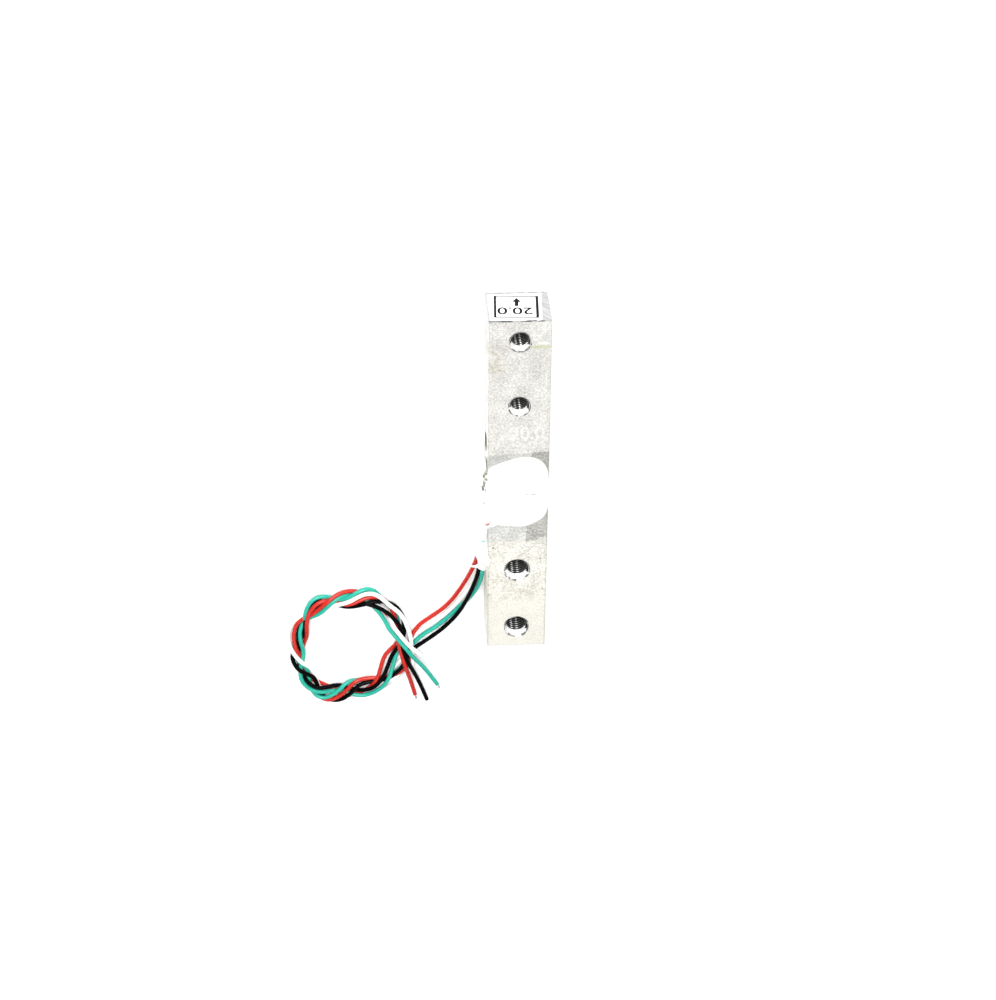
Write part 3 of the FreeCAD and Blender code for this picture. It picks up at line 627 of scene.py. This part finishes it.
# ---- Wires --------------------------------------------------------------------------------------
# Four thin hook-up wires, tinned copper strands in soft coloured insulation. Each is soldered under
# the silicone, comes over the bar's edge, runs down its side and lies on the table in a twisted coil.
WIRE = 0.95         # diameter over the insulation
COIL_MIDDLE = (-34.4, -47.8)
COIL_STEP = 5.0     # degrees between two points of a turn
RISE = 1.6          # how far a strand arches over the others on its way outwards
ON_TABLE = 0.55     # a row no higher than this lies on the table, and the strand into it doesn't arch

# The leads and tails are given in the order of the wire. Between them a strand winds
# clockwise: each row is (degrees round the coil, radius, height) where it turns inwards or outwards.
# A strand on its way outwards arches over the others, unless its row lies right down on the table.
LEADS = {
    "red": [(-3.1, -7.5, 14.12), (-5.2, -8.0, 14.15), (-5.35, -9.3, 12.4), (-5.7, -12.0, 10.8),
            (-5.9, -16.5, 8.0), (-6.1, -20.6, 5.8), (-6.85, -25.0, 4.2), (-9.1, -30.9, 2.6),
            (-11.3, -35.6, 1.3), (-13.6, -38.8, 0.65), (-16.6, -41.2, 0.55), (-19.6, -43.6, 0.5)],
    "green": [(-3.1, -6.15, 14.12), (-5.15, -6.7, 14.12), (-5.15, -7.9, 12.3), (-5.1, -10.6, 10.9),
              (-5.1, -15.4, 9.5), (-5.12, -20.0, 7.6), (-5.1, -25.4, 6.4), (-5.9, -30.3, 4.3),
              (-7.6, -34.6, 2.5), (-9.8, -37.7, 1.3), (-12.1, -40.8, 0.7), (-15.3, -43.9, 0.55),
              (-18.2, -45.9, 0.5)],
    "black": [(-3.1, -4.8, 14.12), (-5.15, -5.4, 14.12), (-5.15, -6.4, 11.9), (-5.3, -9.2, 9.9),
              (-5.7, -13.5, 7.9), (-5.8, -19.5, 6.5), (-5.85, -25.2, 5.8), (-7.1, -30.2, 4.6),
              (-8.6, -34.9, 3.5), (-10.5, -39.5, 2.1), (-13.3, -43.7, 0.95), (-16.4, -46.7, 0.6)],
    "white": [(-3.1, -3.45, 14.12), (-5.15, -4.1, 14.12), (-5.15, -5.0, 11.4), (-5.1, -8.0, 8.6),
              (-5.1, -13.0, 6.6), (-5.12, -19.0, 5.6), (-5.2, -25.2, 4.9), (-6.5, -30.2, 2.9),
              (-9.4, -35.2, 1.5), (-12.2, -39.3, 0.75), (-15.5, -42.3, 0.55), (-18.8, -44.7, 0.5)],
}
TURNS = {
    "red": [(-3, 13.2, .5), (20, 14, .6), (83, 9.95, .8), (115, 16.1, .8), (166, 11.8, .6),
            (210, 13.65, .9), (229, 12.6, .8), (267, 14.55, .8), (316, 11.5, .9), (338, 11.85, 1.0),
            (388, 8.4, .5), (455, 13.9, .6), (480, 13.2, .5), (495, 13.3, .6), (555, 10.5, .8),
            (601, 14.25, .9), (627, 11.7, .8), (657, 14.55, .8), (708, 10.7, 1.6)],
    "green": [(4, 13.4, .5), (22, 13.4, .5), (94, 10.3, .7), (119, 15.9, .8), (151, 11.7, .8),
              (175, 13.1, .8), (205, 11.65, .8), (240, 15.15, .8), (262, 12.65, .8), (287, 15.65, .7),
              (308, 13.5, .5), (350, 11.0, .6), (377, 10.3, 1.3), (440, 13.9, 1.6), (462, 13.1, 1.0),
              (493, 14.7, 1.3), (536, 10.85, 1.0), (573, 12.45, 1.2), (593, 11.6, 1.0),
              (624, 13.45, 1.0), (694, 10.1, 2.2)],
    "black": [(10, 13.4, .5), (22, 13.3, .5), (79, 10.9, 1.0), (109, 16.1, .8), (138, 11.85, .9),
              (166, 13.5, 1.1), (200, 11.15, .9), (237, 14.35, .8), (267, 10.9, .9), (307, 14.5, .9),
              (383, 9.75, 1.0), (445, 12.6, 1.5), (466, 11.7, .8), (493, 13.7, 1.3), (540, 11.8, .5),
              (585, 12.75, .6), (632, 12, .6), (664, 12.55, 1.8), (690, 12.35, 1.8), (714, 11.15, 2.0)],
    "white": [(2, 12.7, .5), (15, 12.3, .5), (72, 11.2, .5), (101, 16.1, .5), (148, 11.25, .8),
              (203, 14.55, .8), (240, 12, .5), (267, 12.4, .8), (291, 15.3, 1.0), (314, 14.3, 1.9),
              (345, 13.6, 2.4), (360, 13.5, 2.5), (390, 15, .6), (455, 15.2, .5), (520, 11.65, .5),
              (585, 13.9, .5), (640, 11.7, .5), (668, 12.5, .6), (693, 11.1, 2.2)],
}
TAILS = {
    "red": [(-23.0, -50.5, 2.9), (-22.2, -53.7, 2.7), (-21.1, -58.7, 1.2), (-20.2, -62.9, 0.5)],
    "green": [(-22.0, -47.6, 3.6), (-20.8, -49.8, 3.4), (-19.0, -52.8, 2.2), (-17.0, -56.6, 1.0),
              (-15.1, -60.2, 0.5)],
    "black": [(-22.6, -49.3, 3.0), (-21.7, -52.0, 2.8), (-20.1, -56.3, 1.6), (-18.6, -60.7, 0.9),
              (-17.5, -64.5, 0.5)],
    "white": [(-22.2, -45.7, 3.5), (-20.5, -47.9, 3.4), (-18.3, -50.9, 2.2), (-16.2, -54.3, 0.9),
              (-14.0, -58.0, 0.5)],
}


def wind(turns):
    """Points of one wire's turns: the radius eases from row to row, and strands going out arch over."""
    points = []
    for (start, r0, z0), (end, r1, z1) in zip(turns, turns[1:]):
        count = max(1, round((end - start) / COIL_STEP))
        for step in range(count):
            share = step / count
            ease = (1 - math.cos(math.pi * share)) / 2
            radius = r0 + (r1 - r0) * ease
            arch = RISE * math.sin(math.pi * share) * min(1.0, max(0.0, r1 - r0) / 2) * (z1 > ON_TABLE)
            angle = -math.radians(start + (end - start) * share)
            points.append((COIL_MIDDLE[0] + radius * math.cos(angle),
                           COIL_MIDDLE[1] + radius * math.sin(angle), z0 + (z1 - z0) * share + arch))
    return points


SETTLE_ROUNDS = 50
SINK = 0.006                    # how far the strands sink in one round
FINE = 4                        # places looked at for each point of a strand
OWN_REACH = 3                   # points of one strand nearer than this don't push each other
GIVE = (0.35, 0.35, 1.0)        # strands give way upwards rather than sideways
LEVEL = 0.25                    # how much of a bend in height eases out in one round
SPREAD, SPRING = 0.6, 0.02      # how a sideways push spreads along a strand, and springs back


def settle(coils, rounds):
    """Let the strands sink onto the table and push each other apart until they only touch."""
    names = list(coils)
    lines = [np.array(LEADS[name][-2:] + coils[name] + TAILS[name][:3]) for name in names]
    laid = [line[:, :2].copy() for line in lines]
    for _ in range(rounds):
        dense, owner, place = [], [], []
        for k, line in enumerate(lines):
            steps = np.arange(0, len(line) - 1, 1 / FINE)
            low = steps.astype(int)
            share = (steps - low)[:, None]
            dense.append(line[low] * (1 - share) + line[low + 1] * share)
            owner.append(np.full(len(steps), k))
            place.append(steps)
        dense, owner, place = np.concatenate(dense), np.concatenate(owner), np.concatenate(place)
        apart = dense[:, None] - dense[None]
        distance = np.sqrt((apart ** 2).sum(2)) + 1e-9
        near = (distance < WIRE) & ~((owner[:, None] == owner[None])
                                     & (abs(place[:, None] - place[None]) < OWN_REACH))
        push = np.where(near, (WIRE - distance) / distance, 0)[:, :, None] * apart
        push *= GIVE
        count = np.maximum(near.sum(1), 1)[:, None]
        shift = push.sum(1) / count * 0.5
        for k, line in enumerate(lines):
            mine = owner == k
            total, weight = np.zeros_like(line), np.full(len(line), 1e-6)
            for end in (0, 1):
                index = place[mine].astype(int) + end
                share = 1 - abs(place[mine] - index)
                np.add.at(total, index, shift[mine] * share[:, None])
                np.add.at(weight, index, share * (near[mine].any(1)))
            move = total / np.maximum(weight, 0.5)[:, None]
            move[:, 2] -= SINK
            line[2:-3] += move[2:-3]
            bend = (line[:-2] + line[2:]) / 2 - line[1:-1]
            line[2:-2, 2] += LEVEL * bend[1:-1, 2]
            drift = line[:, :2] - laid[k]
            drift[1:-1] += SPREAD * ((drift[:-2] + drift[2:]) / 2 - drift[1:-1])
            line[:, :2] = laid[k] + drift * (1 - SPRING)
            line[:, 2] = np.maximum(line[:, 2], WIRE / 2)
    return {name: [tuple(point) for point in line[2:-3]] for name, line in zip(names, lines)}


coils = settle({colour: wind(turns) for colour, turns in TURNS.items()}, SETTLE_ROUNDS)

# Soft vinyl in four colours. The black takes the least gloss.
INSULATION = {"red": (0.46, 0.020, 0.012, 1), "green": (0.020, 0.36, 0.27, 1),
              "black": (0.0012, 0.0012, 0.0014, 1), "white": (0.92, 0.92, 0.91, 1)}
SHEEN_OF = {"red": 0.30, "green": 0.34, "black": 0.05, "white": 0.4}
STRANDS = 7
STRAND = 0.10           # diameter of one strand of the core
BARED = {"red": 1.5, "green": 1.4, "black": 0.08, "white": 0.5}      # how far the core is bared

tinned = finish_of("tinned_copper", mottled((0.62, 0.60, 0.57, 1), (0.85, 0.83, 0.80, 1), 6000.0),
                   uneven(0.2, 0.25, 8000.0), metallic=1.0)


def round_curve(name, diameter, roundness):
    """An empty curve that is drawn as a round rod with closed ends."""
    made = bpy.data.curves.new(name, "CURVE")
    made.dimensions = "3D"
    made.bevel_depth = diameter / 2 * MM
    made.bevel_resolution = roundness
    made.use_fill_caps = True
    return made


def lay(curve, points):
    """Lay one smooth line along those points, in millimetres."""
    line = curve.splines.new("NURBS")
    line.points.add(len(points) - 1)
    for point, place in zip(line.points, points):
        point.co = (*(Vector(place) * MM), 1.0)
    line.order_u = 3
    line.use_endpoint_u = True


def bare_core(colour, tail):
    """The fine strands that stick out of a wire's cut end, each with a bend of its own."""
    end = Vector(tail[-1])
    heading = (end - Vector(tail[-2])).normalized()
    aside = heading.cross(Vector((0, 0, 1))).normalized()
    over = aside.cross(heading)
    core = round_curve(f"{colour}_wire_strands", STRAND, 2)
    for k in range(STRANDS):
        angle = k * 2 * math.pi / (STRANDS - 1)
        reach = 0 if k == STRANDS - 1 else STRAND
        offset = aside * math.cos(angle) * reach + over * math.sin(angle) * reach
        splay = offset * BARED[colour] * 0.7 + over * 0.03 * (k % 3)
        spots = []
        for share in (-0.3, 0.3 * BARED[colour], 0.7 * BARED[colour], BARED[colour]):
            spot = end + offset + heading * share + splay * max(0.0, share) ** 2
            spots.append((spot.x, spot.y, max(spot.z, STRAND / 2)))
        lay(core, spots)
    piece = show(f"{colour}_wire_strands", core, tinned)
    fix_on(piece, "copper", *[tip for tip in (f"{colour}_wire_tip",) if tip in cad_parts])
    return piece


for colour, lead in LEADS.items():
    points = lead + coils[colour] + TAILS[colour]
    curve = round_curve(f"{colour}_wire", WIRE, 5)
    curve.resolution_u = 4
    lay(curve, points)
    dark, light = [(*(part * shade for part in INSULATION[colour][:3]), 1) for shade in (0.85, 1.12)]
    wire = show(f"{colour}_wire", curve, finish_of(
        f"{colour}_insulation", mottled(dark, light, 900.0), uneven(0.22, 0.10, 2500.0, 3.0),
        lambda at: at.noise(3000.0), 0.00001, Specular_IOR_Level=SHEEN_OF[colour]))
    stands_for = [f"{colour}_wire_{stretch}" for stretch in ("root", "lead", "tail")]
    fix_on(wire, f"{colour}_wire", *stands_for, *(["wire_coil"] if colour == "black" else []))
    bare_core(colour, TAILS[colour])

# ---- Silicone over the gauges -------------------------------------------------------------------
# White silicone rubber, squeezed on by hand over the gauges of both faces and left to level. It is
# thickest in the middle, ends in a steep rounded rim, and laps over the bar's edge on the wire side.
RIM_POINTS, RINGS = 288, 56
CURVE_STEPS = 12
LAP = 1.6               # how steeply the coat runs down past the bar's edge
# The rim of the top one, going round, and that of the one underneath.
TOP_RIM = ((-4.5, 5.3), (-2.6, 6.7), (0.2, 7.75), (3.1, 8.35), (5.4, 7.95), (7.1, 6.6), (7.95, 4.4),
           (8.1, 0.4), (8.1, -3.6), (7.2, -6.4), (4.9, -8.1), (2.4, -8.75), (-1.5, -8.35), (-3.7, -7.7),
           (-4.6, -7.0), (-4.6, -3.0), (-4.52, 1.0))
BASE_RIM = ((-4.5, 5.0), (-2.8, 7.4), (0.2, 8.2), (3.6, 8.35), (6.6, 7.6), (8.0, 5.2), (8.1, 0.0),
            (7.95, -5.4), (6.2, -7.9), (2.0, -8.4), (-2.2, -7.9), (-4.2, -5.8), (-4.55, -1.0))


def silicone_finish(name, tint=None):
    """White silicone, with what tints it in places."""
    white = mottled((0.87, 0.87, 0.86, 1), (0.92, 0.92, 0.915, 1), 260.0, 3.0)
    return finish_of(name, (lambda at: tint(at, white(at))) if tint else white,
                     uneven(0.32, 0.18, 700.0, 3.0), lambda at: at.noise(500.0, 3.0), 0.00006,
                     Specular_IOR_Level=0.4)


def smooth_loop(points, count):
    """Points evenly along a closed smooth curve through the given ones."""
    spots = [Vector(point) for point in points]
    line = []
    for k in range(len(spots)):
        before, start, end, after = (spots[(k + i) % len(spots)] for i in (-1, 0, 1, 2))
        for step in range(CURVE_STEPS):
            t = step / CURVE_STEPS
            line.append(0.5 * (2 * start + (end - before) * t
                               + (2 * before - 5 * start + 4 * end - after) * t * t
                               + (3 * start - before - 3 * end + after) * t ** 3))
    line.append(line[0])
    reach = [0.0]
    for a, b in zip(line, line[1:]):
        reach.append(reach[-1] + (b - a).length)
    evenly = np.linspace(0, reach[-1], count, endpoint=False)
    return np.column_stack([np.interp(evenly, reach, [spot[i] for spot in line]) for i in (0, 1)])


def levelled_coat(name, rim_points, face, crown, way, dents=()):
    """A coat from its rim: way is 1 on top of the bar and -1 under it."""
    rim = smooth_loop(rim_points, RIM_POINTS)
    middle = rim.mean(0)
    rings = []
    for ring in range(RINGS):
        share = math.cos(math.pi / 2 * ring / RINGS)
        height = crown * (1 - share ** 3.2) ** 0.42
        row = []
        for x, y in middle + (rim - middle) * share:
            wavy = 1
            for swell, grain in ((0.16, 0.33), (0.05, 1.1)):
                wavy += swell * noise.noise(Vector((x, y, crown)) * grain) * (1 - share ** 6)
            z = height * wavy
            for (x0, y0), (x1, y1), half, deep in dents:
                t = min(1.0, max(0.0, ((x - x0) * (x1 - x0) + (y - y0) * (y1 - y0))
                                 / ((x1 - x0) ** 2 + (y1 - y0) ** 2)))
                off = math.hypot(x - x0 - t * (x1 - x0), y - y0 - t * (y1 - y0))
                z -= deep * math.exp(-(off / half) ** 2)
            row.append((x, y, face + way * (max(z, 0.0) - max(0.0, SIDE - x) * LAP)))
        rings.append(row)
    return closed_grid(name, rings)


def set_silicone(piece, node):
    """Smooth a piece of silicone and fix it on in place of a solid."""
    piece.data.shade_smooth()
    fix_on(piece, "silicone", node)


# Dents where a tool touched the coat: both ends of each, half its width, and its depth.
DENTS = (((3.3, 0.05), (5.4, -0.05), 0.10, 0.14), ((-4.3, -5.8), (-2.9, -4.5), 0.16, 0.12),
         ((7.3, 1.8), (7.3, 0.5), 0.12, 0.08))


def dent_painted_shade(at, plain):
    """The dents are painted dark grey in patches, as painted shade."""
    x, y, z = at.place()
    # Painted shade along each of the three dents.
    line = (y + at.noise(900.0) * 0.4 - 0.2).between(-0.13, 0.13, 0.1) * x.between(3.1, 5.5, 0.6)
    fold = (x - y + 1.4 + at.noise(700.0) * 0.3).between(-0.09, 0.09, 0.1) * x.between(-4.3, -2.9, 0.5)
    third_dent = (x - 7.3).between(-0.12, 0.12, 0.1) * y.between(0.4, 2.0, 0.4) * at.noise(1500.0).step(0.45, 0.6)
    patchy = 0.5 + at.noise(1500.0, 2.0).step(0.40, 0.55) * 0.5
    return ((line * 0.85 + fold * 0.5 + third_dent * 0.7) * patchy).mix(plain, (0.12, 0.12, 0.115, 1))


TOP_CROWN, BASE_CROWN = 1.5, 0.86
top_coat = levelled_coat("gauge_silicone_top", TOP_RIM, TOP, TOP_CROWN, 1, DENTS)
set_silicone(show("gauge_silicone_top", top_coat, silicone_finish("silicone_dented", dent_painted_shade)),
             "top_silicone")
base_coat = levelled_coat("gauge_silicone_base", BASE_RIM, BASE, BASE_CROWN, -1)
for vertex in base_coat.vertices:
    vertex.co.z = max(vertex.co.z, 0.0)
set_silicone(show("gauge_silicone_base", base_coat, silicone_finish("silicone_white")), "bottom_silicone")

# ---- Silicone on the wire side ------------------------------------------------------------------
# Two runs of silicone seal the jumpers down the bar's side. A longer bead, squeezed on in several
# strokes, holds the four wires: it swells towards the place where they leave it and is thin there.
BALL_STEP = 0.45        # strokes are laid down as balls, this far apart
OFF_TABLE = 0.02


def squeezed(name, strokes, grain, rounds, finish):
    """A lump of silicone squeezed out in strokes, run together, and pressed onto the bar.

    Each stroke is a row of (x, y, z, radius). What would lie inside the bar is moved to its nearest face.
    """
    lump = bmesh.new()
    for stroke in strokes:
        for start, end in zip(stroke, stroke[1:]):
            a, b = Vector(start[:3]), Vector(end[:3])
            steps = max(1, round((b - a).length / BALL_STEP))
            for step in range(steps + 1):
                share = step / steps
                bmesh.ops.create_icosphere(lump, subdivisions=2,
                                           radius=(start[3] + (end[3] - start[3]) * share) * MM,
                                           matrix=Matrix.Translation(a.lerp(b, share) * MM))
    piece = show(name, finished(name, lump))
    skin = piece.modifiers.new("run_together", "REMESH")
    skin.mode, skin.voxel_size = "VOXEL", grain * MM
    flow = piece.modifiers.new("flow", "SMOOTH")
    flow.factor, flow.iterations = 0.5, rounds
    fresh = worked_out(piece)
    piece.modifiers.clear()
    piece.data = fresh
    for vertex in fresh.vertices:
        spot = vertex.co / MM
        spot += Vector(vertex.normal) * 0.10 * noise.noise(spot * 0.9)
        inward, sunk, risen = spot.x - SIDE, TOP - spot.z, spot.z - BASE
        if inward > 0 and sunk > 0 and risen > 0:
            least = min(inward, sunk, risen)
            if least == inward:
                spot.x = SIDE
            elif least == sunk:
                spot.z = TOP
            else:
                spot.z = BASE
        spot.z = max(spot.z, OFF_TABLE)
        vertex.co = spot * MM
    fresh.materials.append(finish)
    return piece


def film_over(y):
    """A thin run straight down the bar's side, over two jumpers."""
    middle = ((-4.62, y, z, 0.45) for z in (9.5, 6.0, 3.0))
    return ((-4.45, y, 13.9, 0.5), (-4.62, y, 12.6, 0.5), *middle, (-4.5, y, 1.3, 0.5))


# Each seal is that thin run and a broader strand beside it.
FRONT_SEAL = (film_over(0.75),
              ((-4.4, 1.5, 13.3, 0.5), (-4.6, 2.2, 11.0, 0.55), (-4.6, 2.6, 7.5, 0.62), (-4.6, 2.3, 4.0, 0.6),
               (-4.5, 1.4, 1.4, 0.55)))
REAR_SEAL = (film_over(-2.55),
             ((-4.4, -3.4, 13.4, 0.6), (-4.6, -4.3, 11.0, 0.8), (-4.6, -4.6, 7.5, 0.9),
              (-4.6, -4.4, 4.0, 0.75), (-4.5, -3.3, 1.4, 0.55)))


def opening_shade(at, plain):
    """Painted shade of the cut-out's dark opening, at a slant between the strands over the jumpers' film,
    black and olive.
    """
    x, y, z = at.place()
    # Painted shade where the cut-out's opening shows dark between the seal's strands.
    slant = y - (z - 13.5) * 0.59
    run = slant.between(0.0, 5.2, 0.6) + slant.between(-4.6, -2.4, 0.5) * 0.6
    run = run * at.noise(900.0, 3.0).step(0.40, 0.52) * (z - 8.0).between(-5.0, 4.6, 0.8)
    shade_tone = at.noise(450.0, 2.0).step(0.42, 0.58).mix((0.02, 0.02, 0.02, 1), (0.17, 0.16, 0.08, 1))
    return (run * 0.92).mix(plain, shade_tone)


for which, seal in (("front", FRONT_SEAL), ("rear", REAR_SEAL)):
    set_silicone(squeezed(f"seal_silicone_{which}", seal, 0.14, 5,
                          silicone_finish("silicone_with_painted_shade", opening_shade)), f"jumper_silicone_{which}")

# From the top coat over the edge, down along the wires, and to the thin end where they come out.
SIDE_BEAD = (
    ((-2.6, -5.0, 14.15, 0.6), (-3.2, -5.4, 14.35, 0.65), (-4.6, -5.6, 14.35, 0.75),
     (-5.2, -6.0, 13.9, 0.85)),
    ((-2.7, -6.3, 14.25, 0.6), (-3.3, -6.6, 14.4, 0.65), (-4.6, -6.9, 14.4, 0.75), (-5.3, -7.2, 13.9, 0.95)),
    ((-2.5, -7.3, 14.1, 0.6), (-3.4, -7.55, 14.2, 0.65), (-4.5, -7.7, 14.1, 0.7), (-5.5, -8.4, 13.0, 1.0)),
    ((-4.3, -3.8, 13.6, 0.9), (-4.9, -5.0, 13.4, 1.05), (-5.1, -6.4, 13.1, 1.2), (-5.2, -7.6, 12.6, 1.4)),
    ((-4.5, -4.6, 12.2, 1.0), (-5.0, -7.2, 11.8, 1.4), (-5.2, -9.4, 10.9, 1.8), (-5.4, -12.0, 9.4, 2.1),
     (-5.4, -15.0, 7.6, 2.2), (-5.3, -18.0, 6.4, 2.1), (-5.1, -20.6, 6.2, 1.6), (-4.95, -22.8, 6.3, 1.2)),
    ((-5.2, -8.6, 12.6, 1.3), (-5.5, -11.2, 11.4, 1.4), (-5.9, -13.4, 9.8, 1.4), (-6.0, -15.6, 8.5, 1.4),
     (-6.0, -17.4, 7.2, 1.6), (-6.1, -19.6, 5.8, 1.4), (-6.1, -21.2, 4.8, 1.0)),
    ((-5.0, -10.2, 11.9, 0.9), (-5.0, -12.6, 11.0, 0.9), (-4.95, -14.2, 10.3, 0.8), (-4.9, -16.4, 9.4, 0.95),
     (-4.9, -18.6, 8.6, 1.0), (-4.85, -20.6, 8.0, 0.95)),
    ((-4.9, -11.0, 7.6, 1.1), (-5.1, -14.5, 5.4, 1.4), (-5.3, -18.5, 3.9, 1.6), (-5.2, -22.0, 3.9, 1.3),
     (-5.1, -23.6, 4.3, 0.9)),
    ((-4.9, -17.6, 8.0, 0.95), (-4.85, -20.0, 8.0, 0.95), (-4.8, -22.6, 7.4, 0.85), (-4.9, -23.8, 6.8, 0.8)),
    ((-5.5, -20.5, 7.0, 0.9), (-5.6, -22.4, 6.8, 0.75), (-5.65, -23.8, 6.5, 0.65)),
    ((-5.0, -15.2, 10.6, 1.0), (-4.85, -16.8, 11.8, 1.05), (-4.85, -18.2, 11.7, 1.05),
     (-4.9, -19.6, 10.0, 1.1)),
    ((-5.0, -15.8, 9.4, 1.1), (-4.9, -17.2, 10.0, 1.2), (-4.9, -18.6, 9.7, 1.15), (-4.9, -19.8, 8.8, 1.0)),
    ((-4.75, -15.6, 11.8, 0.7), (-4.55, -16.5, 13.0, 0.5), (-4.4, -17.5, 13.3, 0.55),
     (-4.45, -18.5, 13.2, 0.5), (-4.6, -19.3, 12.0, 0.6), (-4.8, -20.2, 10.0, 0.8)),
    ((-5.7, -23.4, 6.4, 0.5), (-6.5, -24.0, 5.8, 0.42), (-7.2, -24.5, 5.2, 0.36), (-7.6, -24.8, 4.5, 0.3)),
)


def wire_tints(at, plain):
    """The wires show faintly through the bead where it is thin."""
    x, y, z = at.place()
    thin = at.noise(500.0, 2.0).step(0.40, 0.65)
    cyan = y.between(-24.5, -18.5, 3.0) * z.between(5.6, 8.6, 1.5) * thin * 0.30
    off_line = y + 6.75 - (x + 4.2) * 0.75 + at.noise(900.0) * 0.5 - 0.25
    pink = off_line.between(-0.45, 0.45, 0.3) * x.between(-5.1, -4.0, 0.35) * z.step(13.4, 13.8)
    streaky = at.noise(1500.0, 3.0).step(0.35, 0.6)
    tinted = cyan.mix(plain, (0.60, 0.90, 0.86, 1))
    tinted = (pink * (0.4 + streaky * 0.55)).mix(tinted, (0.36, 0.035, 0.03, 1))
    spot = x.between(-5.7, -4.9, 0.2) * y.between(-14.3, -13.55, 0.25) * z.step(9.4, 10.0)
    return (spot * 0.75).mix(tinted, (0.03, 0.40, 0.30, 1))


set_silicone(squeezed("side_silicone_bead", SIDE_BEAD, 0.2, 6,
                      silicone_finish("silicone_over_wires", wire_tints)), "side_silicone")

# ---- End label ----------------------------------------------------------------------------------
# A white vinyl sticker on the loading end. It is printed in black with a frame, an arrow for the
# direction of the load and plain figures, and its upper edge is cut a little unevenly.
label_low, label_high = [Vector(corner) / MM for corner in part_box("end_label")]
STICKER_THICK = 0.1
UPPER_EDGE = 13.38
UPPER_INSET = 0.75      # how much narrower the sheet is at its upper edge
CORNER = 0.3
EDGE_STEPS = 60
INK = 0.012
SKEW = Matrix.Rotation(math.radians(-3.2), 3, "Y")      # the print stands a little askew on the sheet
PRINT_MIDDLE = Vector((1.2, 0.0, 7.3))


def sticker():
    """The sheet, with its ragged upper edge, as a thin closed mesh."""
    left, low, high = label_low.x, label_low.z, UPPER_EDGE
    width = label_high.x - label_low.x
    rows = []
    for y in (END, END + STICKER_THICK):
        row = []
        for k in range(EDGE_STEPS + 1):
            x = left + (width - UPPER_INSET) * k / EDGE_STEPS
            ragged = 0.10 * noise.noise(Vector((x * 1.9, 3.0, 0)))
            ragged += 0.05 * noise.noise(Vector((x * 6.0, 9.0, 0)))
            row.append((x, y, high + ragged))
        row += [(left + width, y, low + CORNER), (left + width - CORNER, y, low),
                (left + CORNER, y, low), (left, y, low + CORNER)]
        rows.append(row)
    return closed_grid("sticker", rows)


def vinyl_colour(at):
    """White, darker along its lower and left edges, with a band of painted shadow along its upper edge."""
    x, y, z = at.place()
    plain = at.noise(400.0, 2.0).mix(grey(0.88), grey(0.93))
    wavy = at.noise(500.0, 2.0) * 0.6
    low = 1 - (z - wavy).step(label_low.z + 0.05, label_low.z + 0.25)
    left = 1 - x.step(label_low.x + 0.12, label_low.x + 0.30)
    broken_edge = at.noise(700.0, 2.0).step(0.3, 0.55)
    plain = ((low * 0.9 + left * 0.8) * (0.5 + broken_edge * 0.5)).mix(plain, grey(0.20))
    # Painted shadow along the sheet's upper edge.
    return (z.step(UPPER_EDGE - 0.26, UPPER_EDGE - 0.10) * broken_edge).mix(plain, grey(0.04))


vinyl = finish_of("white_vinyl", vinyl_colour, uneven(0.4, 0.1, 900.0),
                  lambda at: at.noise(1500.0, 3.0), 0.000015)
printed = finish_of("black_print", mottled(grey(0.003), grey(0.008), 3000.0, 3.0),
                    uneven(0.5, 0.1, 2000.0), Specular_IOR_Level=0.05)
fix_on(show("end_sticker", sticker(), vinyl), "label", "end_label")

# (x, z) of the frame's four strips and of the arrow, which points down to the table.
FRAME_LEFT, FRAME_RIGHT, FRAME_LOW, FRAME_HIGH = -3.15, 5.85, 2.65, 12.0
STRIPS = ((FRAME_LEFT, FRAME_LEFT + 0.48, FRAME_LOW, FRAME_HIGH),
          (FRAME_RIGHT - 0.56, FRAME_RIGHT, FRAME_LOW, FRAME_HIGH),
          (FRAME_LEFT, FRAME_RIGHT, FRAME_LOW, FRAME_LOW + 0.34),
          (FRAME_LEFT, FRAME_RIGHT, FRAME_HIGH - 0.32, FRAME_HIGH))
ARROW = ((1.45, 3.55), (2.35, 5.25), (1.80, 5.25), (1.80, 7.05), (1.06, 7.05), (1.06, 5.25), (0.52, 5.25))
INK_OUTLINES = [((x0, z0), (x1, z0), (x1, z1), (x0, z1)) for x0, x1, z0, z1 in STRIPS] + [ARROW]


def askew():
    """Turns the print about its middle, on the loading end's face."""
    middle = Matrix.Translation(PRINT_MIDDLE * MM)
    return middle @ SKEW.to_4x4() @ middle.inverted()


def inked(outline):
    """An outline on the sticker's face, as two rings with the ink's thickness between them."""
    return [[(x, END + STICKER_THICK + lift, z) for x, z in outline] for lift in (0.0, INK)]


facing_out = Matrix.Rotation(math.pi, 3, "Z") @ Matrix.Rotation(math.pi / 2, 3, "X")
outlines = closed_grid("label_print", *(inked(outline) for outline in INK_OUTLINES))
figures_ink = figures("label_figures", (1.1, END + STICKER_THICK + INK / 2, 9.15), facing_out, INK, printed)
for piece in (show("label_frame_and_arrow", outlines, printed), figures_ink):
    piece.data.transform(askew())
    fix_on(piece, "label")
